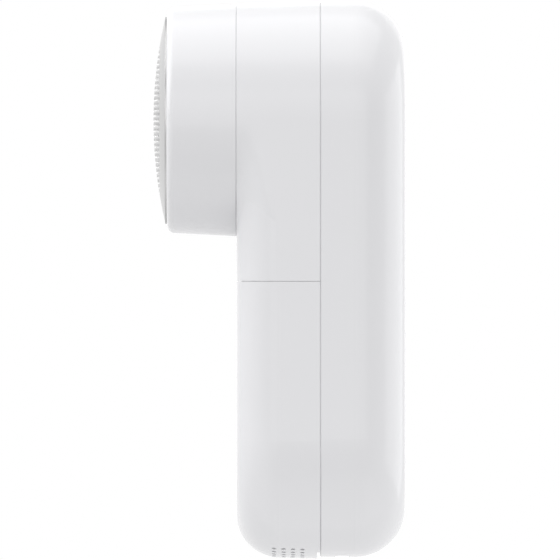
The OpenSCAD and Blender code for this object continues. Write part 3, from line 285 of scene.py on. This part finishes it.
def shrunk_sleeve():
    """Heat-shrunk sleeve on the cell: lengthwise pull lines in its colour, its gloss and its height."""
    made = Finish("shrunk_sleeve", IOR=1.5)
    pulls = made.clouds(size=0.9 * MM, detail=3, place=made.stretched((1, 1, 0.06)))
    made.shade(Base_Color=made.mixed(pulls, (0.09, 0.33, 0.22), (0.13, 0.4, 0.28)))
    made.shade(Roughness=made.spread(pulls, low=0.22, high=0.4))
    made.shade(Normal=made.bump(pulls, rise=0.02 * MM))
    return made.material


def enamelled_copper():
    """Winding wire: copper under clear enamel, its tone shifting from turn to turn."""
    made = Finish("enamelled_copper", Metallic=1.0, Coat_Weight=0.6, Coat_Roughness=0.12)
    turns = made.clouds(size=0.5 * MM)
    made.shade(Base_Color=made.mixed(turns, (0.5, 0.19, 0.08), (0.66, 0.3, 0.14)))
    made.shade(Roughness=made.spread(turns, low=0.24, high=0.36))
    made.shade(Normal=made.bump(made.clouds(size=0.08 * MM), rise=0.002 * MM))
    return made.material


def rolled_foil():
    """Electroformed foil: a satin skin with faint polishing rings round the head's axis and a fine grain.

    The plated edges of its holes are rounded, and the skirt is darkened with painted shade where it meets the
    cover, in place of the shadow in that crevice.
    """
    made = Finish("rolled_foil", Metallic=1.0, Specular_Tint=grey(0.72))
    polish = made.head_rings(spacing=0.35 * MM, wobble=1.5)
    grain = made.clouds(size=0.1 * MM, detail=3)
    steel = made.mixed(made.plus(grain, polish, share=0.25), grey(0.73), grey(0.65))
    along = made.node("ShaderNodeSeparateXYZ", {"Vector": made.place}).outputs["X"]
    # painted shade: the skirt turns dark grey where it meets the cover, in place of the shadow in that
    # crevice
    crevice_shade = made.spread(along, low=0.0, high=1.0, start=SKIRT_X - 0.12 * MM, end=SKIRT_X + 0.05 * MM)
    made.shade(Base_Color=made.mixed(crevice_shade, steel, grey(0.45)))
    made.shade(Roughness=made.spread(made.plus(grain, polish, share=0.3), low=0.24, high=0.38, end=1.3))
    grained = made.bump(grain, rise=0.0012 * MM, under=made.round_edge(radius=0.2 * MM, samples=6))
    made.shade(Normal=made.bump(polish, rise=0.002 * MM, under=grained))
    return made.material


def ground_blade():
    """Blade steel: grinding lines across the blade, and bare steel along its worn edges.

    An edge shows as the cosine between the rounded normal and the flat one, which falls below one there.
    """
    made = Finish("ground_blade", Metallic=1.0)
    lines = made.clouds(size=0.5 * MM, detail=3, place=made.stretched((9, 1, 1)))
    rounded = made.round_edge(radius=0.12 * MM, samples=4)
    flat = made.node("ShaderNodeNewGeometry").outputs["Normal"]
    turned = made.node("ShaderNodeVectorMath", {0: rounded, 1: flat}, operation="DOT_PRODUCT")
    worn = made.spread(turned.outputs["Value"], low=1.0, high=0.0, start=0.75, end=0.98)
    steel = made.mixed(lines, grey(0.6), grey(0.48))
    made.shade(Base_Color=made.mixed(worn, steel, grey(0.78)))
    made.shade(Roughness=made.spread(lines, low=0.2, high=0.36))
    made.shade(Normal=made.bump(lines, rise=0.002 * MM))
    return made.material


FINISHES = {
    "white_plastic": moulded("white_moulding", (0.818, 0.818, 0.836), (0.806, 0.806, 0.824), rough=0.19),
    "inner_plastic": moulded("inner_moulding", grey(0.76), grey(0.7), rough=0.4, grain_rise=0.004 * MM),
    "component_black": moulded("component_moulding", grey(0.03), grey(0.018), rough=0.5,
                               grain_rise=0.005 * MM),
    "switch_ivory": moulded("switch_moulding", (0.7, 0.66, 0.55), (0.64, 0.6, 0.5), rough=0.4),
    "lens": moulded("light_guide", (0.86, 0.9, 0.87), (0.8, 0.85, 0.82), rough=0.15,
                    Transmission_Weight=0.5),
    "lead_red": moulded("red_insulation", (0.42, 0.03, 0.025), (0.34, 0.02, 0.02), rough=0.45,
                        grain=0.2 * MM, grain_rise=0.004 * MM),
    "lead_black": moulded("black_insulation", grey(0.03), grey(0.02), rough=0.45,
                          grain=0.2 * MM, grain_rise=0.004 * MM),
    "magnet": moulded("sintered_magnet", grey(0.07), grey(0.04), rough=0.55,
                      grain=0.3 * MM, grain_rise=0.01 * MM),
    "soft_rubber": moulded("soft_rubber", grey(0.045), grey(0.028), rough=0.7,
                           grain=0.2 * MM, grain_rise=0.01 * MM),
    "foil_steel": rolled_foil(),
    "blade_steel": ground_blade(),
    "plain_steel": metal("drawn_steel", grey(0.55), grey(0.44), rough=0.34,
                         grain=0.8 * MM, grain_rise=0.003 * MM, stretch=(1, 6, 6)),
    "screw_steel": metal("screw_steel", (0.52, 0.5, 0.46), (0.4, 0.39, 0.36), rough=0.3,
                         grain=0.2 * MM, grain_rise=0.002 * MM),
    "copper": enamelled_copper(),
    "brass": turned_brass(),
    "felt": pressed_felt(),
    "circuit_board": circuit_board(),
    "cell_wrap": shrunk_sleeve(),
}

for node_object in frame["nodes"].values():
    for node_slot in node_object.material_slots:
        node_slot.material = FINISHES[node_slot.material.name]


# Surfaces

CREASE = math.radians(40)


def placed(name, data):
    """A mesh, lamp or camera put into the scene."""
    made = bpy.data.objects.new(name, data)
    SCENE.collection.objects.link(made)
    return made


def signed_volume(points, quads):
    """Volume inside the quads: the sum of the cones that their two triangles make with the origin."""
    a, b, c, d = (points[quads[:, corner]] for corner in range(4))
    return np.sum(a * (np.cross(b, c) + np.cross(c, d))) / 6


def piece(name, points, quads, ends, body, slot, nodes=()):
    """Puts a worked-out surface on a body: quads and closing faces turned outwards, smooth up to a crease."""
    points = points.reshape(-1, 3)
    faces = quads.tolist() + [end.tolist() for end in ends]
    if signed_volume(points - points.mean(axis=0), quads) < 0:
        faces = [face[::-1] for face in faces]
    mesh = bpy.data.meshes.new(name)
    mesh.from_pydata(points.tolist(), [], faces)
    mesh.polygons.foreach_set("use_smooth", np.ones(len(faces), bool))
    mesh.set_sharp_from_angle(angle=CREASE)
    mesh.materials.append(FINISHES[slot])
    made = placed(name, mesh)
    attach(made, body)
    if nodes:
        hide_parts(*nodes)
    return made


def grid_quads(rows, columns, wrap_rows=False, wrap_columns=False):
    """Corner numbers of the quads of a grid of points, joined round where it wraps."""
    starts = np.arange(rows - 1 + wrap_rows), np.arange(columns - 1 + wrap_columns)
    row, column = np.meshgrid(*starts, indexing="ij")
    here = row * columns
    below = (row + 1) % rows * columns
    beside = (column + 1) % columns
    return np.stack([here + column, here + beside, below + beside, below + column], axis=-1).reshape(-1, 4)


def unit(vectors):
    """Vectors brought to length one."""
    return vectors / np.linalg.norm(vectors, axis=-1, keepdims=True)


def full_turn(count):
    """Evenly spread angles of one turn, without the last, which meets the first."""
    return np.linspace(0, math.tau, count, endpoint=False)


def tube_rings(path, radius, sides, up):
    """Rings square to a path: its point plus radius times a turn's cosine and sine along two directions."""
    ahead = unit(np.gradient(path, axis=0))
    across = unit(np.cross(ahead, up))
    third = np.cross(ahead, across)
    turn = full_turn(sides)[:, None]
    radius = np.broadcast_to(radius, len(path))[:, None, None]
    return path[:, None] + radius * (np.cos(turn) * across[:, None] + np.sin(turn) * third[:, None])


def tubes(name, all_rings, body, slot, nodes=()):
    """Several tubes as one piece, each a run of rings closed by a flat face at both ends."""
    quads = []
    ends = []
    first = 0
    for rings in all_rings:
        count, sides = rings.shape[:2]
        quads.append(first + grid_quads(count, sides, wrap_columns=True))
        ends.append(first + np.arange(sides)[::-1])
        ends.append(first + (count - 1) * sides + np.arange(sides))
        first += count * sides
    points = np.concatenate([rings.reshape(-1, 3) for rings in all_rings])
    return piece(name, points, np.concatenate(quads), ends, body, slot, nodes)


def turned_loop(name, rings, body, slot, nodes=()):
    """A closed ring of sections: a grid that wraps both round the axis and round its own section."""
    rows, columns = rings.shape[:2]
    piece(name, rings, grid_quads(rows, columns, True, True), [], body, slot, nodes)


def rounded_section(low, high, corner, points):
    """Points round rectangles with rounded corners, from their (..., 2) low and high corners.

    Each direction of a full turn starts from the middle of the corner's circle on its side and goes out by
    the corner's radius. A direction along an axis starts from the middle of its edge.
    """
    turn = full_turn(points)
    ways = np.stack([np.cos(turn), np.sin(turn)], axis=-1)
    sides = np.where(np.abs(ways) < TINY, 0, np.sign(ways))
    middle = (low + high)[..., None, :] / 2
    half = (high - low)[..., None, :] / 2
    return middle + sides * (half - corner) + corner * ways


def spun(section, angle):
    """Sections of (radius, X) points carried round the head's axis, one for each angle."""
    radius = section[..., 0]
    return np.stack([section[..., 1], radius * np.cos(angle)[:, None],
                     HEAD_Z + radius * np.sin(angle)[:, None]], axis=-1)


# Float spring, seal and damper

SPRING_WIRE = 0.6 * MM
SPRING_COIL_R = 4.8 * MM
SPRING_TURNS = 5.5
SPRING_EASE = 0.55
SPRING_GRIND = 0.1 * SPRING_WIRE
SPRING_STEPS = 420
SPRING_SIDES = 14


def float_spring():
    """Coil spring with closed, ground ends.

    A helix about the spindle whose rise eases in and out by a sine, so that the end turns lie against their
    neighbours, with the wire cut flat where it would pass the two faces that it presses on.
    """
    low, high = corners("float_spring")
    way = np.linspace(0, 1, SPRING_STEPS)
    eased = way - SPRING_EASE * np.sin(math.tau * way) / math.tau
    x = low[0] + SPRING_WIRE / 2 + (high[0] - low[0] - SPRING_WIRE) * eased
    angle = math.tau * SPRING_TURNS * way
    path = np.stack([x, SPRING_COIL_R * np.cos(angle), HEAD_Z + SPRING_COIL_R * np.sin(angle)], axis=-1)
    rings = tube_rings(path, SPRING_WIRE / 2, SPRING_SIDES, (1, 0, 0))
    rings[..., 0] = np.clip(rings[..., 0], low[0] + SPRING_GRIND, high[0] - SPRING_GRIND)
    spring = tubes("coil_spring", [rings], "rotor", "plain_steel", ["float_spring"])
    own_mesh(spring)


SEAL_INNER_R = 3.39 * MM
SEAL_CORNER = 0.3 * MM
SEAL_WAVE = 0.03 * MM
SEAL_SLOW_WAVES = 5
SEAL_FAST_WAVES = 11
SEAL_STEPS = 180
SEAL_POINTS = 40


def felt_seal():
    """Felt washer: a rounded section turned round the shaft, drawn in by the wool's own unevenness.

    That is the sum of a slow and a fast sine round the washer, lifted so that it never goes below nothing.
    """
    low, high = corners("shaft_seal")
    angle = full_turn(SEAL_STEPS)
    wave = SEAL_WAVE * (np.sin(SEAL_SLOW_WAVES * angle) + np.sin(SEAL_FAST_WAVES * angle + 1) + 2)
    near = np.stack([np.full_like(angle, SEAL_INNER_R), low[0] + wave], axis=-1)
    far = np.stack([high[2] - HEAD_Z - wave / 2, np.full_like(angle, high[0])], axis=-1)
    section = rounded_section(near, far, SEAL_CORNER, SEAL_POINTS)
    turned_loop("felt_washer", spun(section, angle), "housing", "felt", ["shaft_seal"])


DAMPER_INNER_R = 10.22 * MM
DAMPER_INNER_HALF = 7.72 * MM
DAMPER_LIP = 0.45 * MM
DAMPER_STEPS = 240
DAMPER_POINTS = 48


def rubber_damper():
    """Rubber ring: round outside, the motor's flat-sided outline inside, with soft lips at both ends.

    The inner radius is the motor's own, or its half width over the angle's cosine where that is less.
    """
    low, high = corners("motor_damper")
    angle = full_turn(DAMPER_STEPS)
    inner = np.minimum(DAMPER_INNER_R, DAMPER_INNER_HALF / np.maximum(np.abs(np.cos(angle)), TINY))
    near = np.stack([inner, np.full_like(angle, low[0])], axis=-1)
    far = np.stack([np.full_like(angle, high[2] - HEAD_Z), np.full_like(angle, high[0])], axis=-1)
    section = rounded_section(near, far, DAMPER_LIP, DAMPER_POINTS)
    turned_loop("rubber_ring", spun(section, angle), "housing", "soft_rubber", ["motor_damper"])


# Motor windings

WINDING_WIRE = 0.27 * MM
WINDING_LAYERS = 3
WINDING_TURNS = 7
WINDING_BEND = 0.25
WINDING_STEPS = 56
WINDING_SIDES = 6
POLE_COUNT = 3
POLE_HALF_W = 1.35 * MM
POLE_INNER_R = 2.55 * MM
POLE_OUTER_R = 4.66 * MM
STACK_HALF = 4.65 * MM


def squared_off(swing):
    """A sine or cosine raised to a small power with its sign kept, which turns a circle into an oblong."""
    return np.sign(swing) * np.abs(swing) ** WINDING_BEND


def motor_windings():
    """Three coils of enamelled wire.

    Each turn is a rounded oblong round the pole, a cosine and a sine squared off, one wire wider on each
    layer, while its place along the pole goes out, back and out again like the thread on a reel.
    """
    low, high = corners("motor_windings")
    stack_x = (low[0] + high[0]) / 2
    turns = WINDING_LAYERS * WINDING_TURNS
    turn = np.linspace(0, turns, turns * WINDING_STEPS)
    passes = turn / WINDING_TURNS
    layer = np.floor(np.minimum(passes, WINDING_LAYERS - TINY))
    along = np.abs(passes - 2 * np.round(passes / 2))
    out = WINDING_WIRE * (layer + 0.5)
    x = stack_x + (STACK_HALF + out) * squared_off(np.cos(math.tau * turn))
    tangent = (POLE_HALF_W + out) * squared_off(np.sin(math.tau * turn))
    radial = POLE_INNER_R + WINDING_WIRE / 2 + (POLE_OUTER_R - POLE_INNER_R - WINDING_WIRE) * along
    coils = []
    for angle in full_turn(POLE_COUNT):
        c = math.cos(angle)
        s = math.sin(angle)
        path = np.stack([x, c * radial - s * tangent, HEAD_Z + s * radial + c * tangent], axis=-1)
        coils.append(tube_rings(path, WINDING_WIRE / 2, WINDING_SIDES, (0, c, s)))
    tubes("wound_coils", coils, "rotor", "copper", ["motor_windings"])


# Leads, along the routes of their solids, in millimetres

LEAD_R = 0.55 * MM
LEAD_UP = (1, 0.3, 0)
LEAD_SIDES = 14
LEAD_STEPS = 14
LEAD_PINCH = 0.18
LEAD_PINCH_REACH = 0.12 * MM
STRAND_ALONG = np.linspace(-0.5, 0.13, 6)[:, None] * MM
STRAND_R = 0.3 * MM * np.array([1, 1, 1, 1, 0.97, 0.8])
STRAND_SIDES = 10
MOTOR_ROUTES = [[(19.45, side * 5.9, 113.75), (22, side * 6.4, 113.2), (22.85, side * 6.4, 111.75),
                 (23.95, side * 6, 109.75), (23.95, side * 6, 107.1)] for side in (-1, 1)]
BATTERY_ROUTES = [
    [(16.75, -1.1, 78.6), (18.75, -4, 79.6), (22.45, -8.9, 81.6), (24.7, -10, 84.75), (24.7, -10, 88.4)],
    [(16.75, -1.1, 26.6), (18.75, -8, 23.6), (20.15, -15.5, 25.6), (21.25, -16.6, 31.6),
     (21.25, -16.6, 52.6), (22.35, -15.5, 75.6), (23.2, -10, 84.75), (23.2, -10, 88.4)]]
CHARGE_ROUTES = [
    [(17.85 - way, 0, 16.85), (17.85 - way, 1.1, 18.95), (18.95 - way, 9.5, 20.05), (21.25 - way, 16.6, 29.6),
     (21.25 - way, 16.6, 52.6), (22.35 - way, 15.5, 75.6), (25.45 - way, 10, 84.75), (25.45 - way, 10, 88.4)]
    for way in (0.75, 2.25)]


def smooth_route(route):
    """A curve through a route's points: stretches of cubics whose ends head along their neighbours' chord."""
    points = np.array(route) * MM
    before = np.concatenate([points[:1], points[:-2]])[:, None]
    start = points[:-1, None]
    end = points[1:, None]
    after = np.concatenate([points[2:], points[-1:]])[:, None]
    t = np.linspace(0, 1, LEAD_STEPS, endpoint=False)[None, :, None]
    curve = 0.5 * (2 * start + t * (end - before) + t ** 2 * (2 * before - 5 * start + 4 * end - after)
                   + t ** 3 * (3 * start - before - 3 * end + after))
    return np.concatenate([curve.reshape(-1, 3), points[-1:]])


def insulated_leads(name, routes, slot, node):
    """Insulation along each route, with the tinned strands showing beyond its ends.

    A bell curve of the distance from the nearer end draws the cut ends in, and the strands taper at the tip.
    """
    sleeves = []
    strands = []
    for route in routes:
        path = smooth_route(route)
        reach = np.concatenate([[0], np.cumsum(np.linalg.norm(np.diff(path, axis=0), axis=1))])
        from_end = np.minimum(reach, reach[-1] - reach)
        radius = LEAD_R * (1 - LEAD_PINCH * np.exp(-(from_end / LEAD_PINCH_REACH) ** 2))
        sleeves.append(tube_rings(path, radius, LEAD_SIDES, LEAD_UP))
        for end, beside in ((path[0], path[1]), (path[-1], path[-2])):
            strand = end + STRAND_ALONG * unit(end - beside)
            strands.append(tube_rings(strand, STRAND_R, STRAND_SIDES, LEAD_UP))
    tubes(name + "_insulation", sleeves, "housing", slot, [node])
    tubes(name + "_strands", strands, "housing", "plain_steel")


# Skin of the upper housing, and the bead in its seam

BODY_R = 30.75 * MM
FRONT_DRAFT = math.radians(1.7)
FRONT_EDGE_R = 11.4 * MM
FLARE_REACH = 8.5 * MM
FLARE_GROWTH = 0.5
FLARE_BLEND = 0.4
FLARE_LOWEST = 0.99
SEAM_EDGE = 0.15 * MM
HEAD_EDGE = 0.05 * MM
SKIN_LIFT = 0.015 * MM
SKIN_ROOT = 0.4 * MM
SKIN_COLUMNS = 84
SKIN_SIDE_ROWS = 130
SKIN_TOP_ROWS = 82
LIP_DROP = 1.2 * MM
FRONT_X = corners("upper_shell")[0][0]
SEAM_X = (corners("upper_shell")[1][0] + corners("back_shell")[0][0]) / 2


def side_radius(x):
    """Half width of the front housing: the body's, less the draft's tangent times the way to the seam."""
    return BODY_R - (SEAM_X - x) * math.tan(FRONT_DRAFT)


def quarter_round(inwards, radius):
    """How far a rounded edge lies inside the side, at a distance behind the front: radius less its circle."""
    left = np.maximum(radius - inwards, 0)
    return radius - np.sqrt(radius ** 2 - left ** 2)


def front_edge(inwards, drop):
    """How far the side lies inside its full width, at a distance behind the front and below the head's axis.

    Beside the head it is as deep as the head's circle has drawn in, and an S-shaped quartic brings it out to
    the full width over a reach that grows a little with that depth. Below the head it is the rounded front
    edge. The lesser of the two counts, and where they are alike a quadratic smooth minimum joins them.
    """
    head_r = side_radius(FRONT_X)
    half_w = np.sqrt(head_r ** 2 - np.clip(drop, 0, FLARE_LOWEST * head_r) ** 2)
    depth = head_r - half_w
    share = np.clip(inwards / np.hypot(FLARE_REACH, FLARE_GROWTH * depth), 0, 1)
    flare = depth * (1 - share) ** 3 * (1 + 3 * share)
    edge = quarter_round(inwards, FRONT_EDGE_R)
    blend = np.maximum(FLARE_BLEND * (flare + edge), SKIN_LIFT)
    alike = np.maximum(blend - np.abs(flare - edge), 0)
    return np.maximum(np.minimum(flare, edge) - alike ** 2 / (4 * blend), 0)


def upper_skin():
    """Outer skin of the upper housing: up the near side, over the round top and down the far side.

    At each height the half width is the drafted side less the front edge's depth, and over the top the same
    drafted radius is turned about the head's axis. The skin lies a hair outside the housing and its root a
    little inside it.
    """
    low, high = corners("upper_shell")
    floor_z = low[2] + LIP_DROP + SKIN_LIFT
    x = FRONT_X + SKIN_LIFT + (high[0] - SEAM_EDGE - FRONT_X) * np.linspace(0, 1, SKIN_COLUMNS) ** 2
    inwards = x - FRONT_X
    drop = np.linspace(HEAD_Z - floor_z, 0, SKIN_SIDE_ROWS)[:, None]
    chamfer = np.maximum(HEAD_EDGE - inwards, 0)
    half = side_radius(x) - np.maximum(front_edge(inwards, drop), chamfer) + SKIN_LIFT
    ring = np.sqrt(np.maximum(side_radius(x) ** 2 - drop ** 2, 0))
    block = side_radius(x) - quarter_round(inwards, FRONT_EDGE_R)
    root = np.maximum(ring, block) - chamfer - SKIN_ROOT
    turn = np.linspace(0, math.pi, SKIN_TOP_ROWS)[1:-1, None]
    top = np.broadcast_to(side_radius(x) - chamfer, (len(turn), len(x)))

    def layer(half_width, top_radius):
        """One face of the skin: the near side, the turn over the top, and the near side mirrored."""
        near = np.stack([np.broadcast_to(x, half.shape), -half_width,
                         np.broadcast_to(HEAD_Z - drop, half.shape)], axis=-1)
        over = np.stack([np.broadcast_to(x, top.shape), -top_radius * np.cos(turn),
                         HEAD_Z + top_radius * np.sin(turn)], axis=-1)
        return np.concatenate([near, over, (near * (1, -1, 1))[::-1]])

    skin = layer(half, top + SKIN_LIFT)
    back = layer(root, top - SKIN_ROOT)
    rows, columns = skin.shape[:2]
    number = np.arange(rows * columns).reshape(rows, columns)
    rim = np.concatenate([number[0], number[1:, -1], number[-1, -2::-1], number[-2:0:-1, 0]])
    behind = rim + rows * columns
    walls = np.stack([rim, behind, np.roll(behind, -1), np.roll(rim, -1)], axis=-1)
    faces = grid_quads(rows, columns)
    quads = np.concatenate([faces, faces[:, ::-1] + rows * columns, walls])
    piece("upper_skin", np.concatenate([skin, back]), quads, [], "housing", "white_plastic")


BEAD_HALF = 0.06 * MM
BEAD_DEPTH = 0.16 * MM
BEAD_ROOT = 1.1 * MM
BEAD_STEPS = 97
BEAD_POINTS = 7
LOW_Z = corners("back_shell")[0][2] + BODY_R


def seam_bead():
    """Moulded edge of the chassis, closing the seam from inside.

    A narrow section with a round crown, carried round the pill-shaped outline: two half circles about the
    head's axis and the bin's, joined by straight runs.
    """
    turn = np.linspace(0, math.pi, BEAD_STEPS)
    over = np.stack([np.cos(turn), np.sin(turn)], axis=-1)
    outward = np.concatenate([over, -over])
    middle = np.repeat([HEAD_Z, LOW_Z], BEAD_STEPS)
    crown = np.linspace(0, math.pi, BEAD_POINTS)
    across = np.concatenate([[BEAD_HALF], BEAD_HALF * np.cos(crown), [-BEAD_HALF]])
    depth = np.concatenate([[BEAD_ROOT], BEAD_DEPTH + BEAD_HALF * (1 - np.sin(crown)), [BEAD_ROOT]])
    radius = BODY_R - depth
    rings = np.stack([np.broadcast_to(SEAM_X + across, (len(middle), len(across))),
                      outward[:, :1] * radius, middle[:, None] + outward[:, 1:] * radius], axis=-1)
    turned_loop("seam_bead", rings, "housing", "white_plastic")


float_spring()
felt_seal()
rubber_damper()
motor_windings()
insulated_leads("motor_lead", MOTOR_ROUTES, "lead_red", "motor_leads")
insulated_leads("battery_lead", BATTERY_ROUTES, "lead_red", "battery_leads")
insulated_leads("charge_lead", CHARGE_ROUTES, "lead_black", "charge_leads")
upper_skin()
seam_bead()


# Studio

FLOOR_Z = -82 * MM
FLOOR_HALF = 3.0
FLOOR_PAINT = 0.2
FLOOR_SEEN = 0.85
FLOOR_CAST = 0.44
SURROUND_SEEN = 1.0
SURROUND_CAST = 0.55


def studio_floor():
    """A level pale square under the lowest reach of the bin, white to the camera and shaded by the object."""
    square = np.array([(-1, -1), (1, -1), (1, 1), (-1, 1)]) * FLOOR_HALF
    points = np.column_stack([square, np.full(4, FLOOR_Z)])
    mesh = bpy.data.meshes.new("studio_floor")
    mesh.from_pydata(points.tolist(), [], [(0, 1, 2, 3)])
    material = bpy.data.materials.new("pale_floor")
    material.use_nodes = True
    material.node_tree.nodes.clear()
    nodes = Nodes(material.node_tree)
    paint = nodes.node("ShaderNodeBsdfDiffuse", {"Color": grey(FLOOR_PAINT)})
    glow = nodes.node("ShaderNodeEmission", {"Strength": nodes.seen_or_cast(FLOOR_SEEN, FLOOR_CAST)})
    both = nodes.node("ShaderNodeAddShader", {0: paint.outputs[0], 1: glow.outputs[0]})
    nodes.node("ShaderNodeOutputMaterial", {"Surface": both.outputs[0]})
    mesh.materials.append(material)
    placed("studio_floor", mesh)


def studio_world():
    """A white surround: full white where it is seen, and an even soft light on the object."""
    world = bpy.data.worlds.new("white_surround")
    world.use_nodes = True
    nodes = Nodes(world.node_tree)
    background = world.node_tree.nodes["Background"]
    nodes.give(background.inputs["Color"], grey(1))
    nodes.give(background.inputs["Strength"], nodes.seen_or_cast(SURROUND_SEEN, SURROUND_CAST))
    SCENE.world = world


OBJECT_MIDDLE = (0.0, 0.0, 72 * MM)
LAMP_POWER = 4


def softbox(name, place, width, height, radiance):
    """A rectangular soft lamp that faces the object, with an even brightness over its face.

    Its power is its area times its radiance, times the four that the renderer divides a lamp's power by. Two
    turns point it: a tilt from straight down, and a swing round the upright axis.
    """
    lamp = bpy.data.lights.new(name, "AREA")
    lamp.shape = "RECTANGLE"
    lamp.size = width
    lamp.size_y = height
    lamp.energy = radiance * width * height * LAMP_POWER
    toward = np.subtract(OBJECT_MIDDLE, place)
    tilt = math.acos(-toward[2] / np.linalg.norm(toward))
    swing = math.atan2(toward[1], toward[0]) - math.pi / 2
    holder = placed(name, lamp)
    holder.location = place
    holder.rotation_euler = (tilt, 0, swing)
    holder.visible_camera = False


VIEW_WIDTH = 145.4 * MM
VIEW_X = 0.19 * MM
VIEW_Z = 72.33 * MM
CAMERA_DISTANCE = 4.0
CAMERA_REACH = 20.0
SENSOR = 36.0


def photo_camera():
    """A long lens square to the object's side, its focal length the sensor times distance over view width."""
    camera = bpy.data.cameras.new("photo_camera")
    camera.sensor_width = SENSOR
    camera.lens = SENSOR * CAMERA_DISTANCE / VIEW_WIDTH
    camera.clip_end = CAMERA_REACH
    holder = placed("photo_camera", camera)
    holder.location = (VIEW_X, -CAMERA_DISTANCE, VIEW_Z)
    holder.rotation_euler = (math.pi / 2, 0, 0)
    SCENE.camera = holder


studio_floor()
studio_world()
softbox("top_softbox", place=(0, 0, 0.9), width=1.0, height=1.2, radiance=0.66)
softbox("left_softbox", place=(-0.63, 0, 0.5), width=0.8, height=0.7, radiance=1.36)
softbox("right_softbox", place=(0.3, 0.06, 0.072), width=0.36, height=0.3, radiance=0.78)
softbox("front_softbox", place=(0, -1.2, 0.35), width=1.2, height=0.8, radiance=0.67)
softbox("back_softbox", place=(0, 1.2, 0.35), width=1.2, height=0.8, radiance=0.24)
softbox("under_softbox", place=(0, -0.02, -0.08), width=0.24, height=0.24, radiance=0.23)
photo_camera()
SCENE.view_settings.view_transform = "Standard"
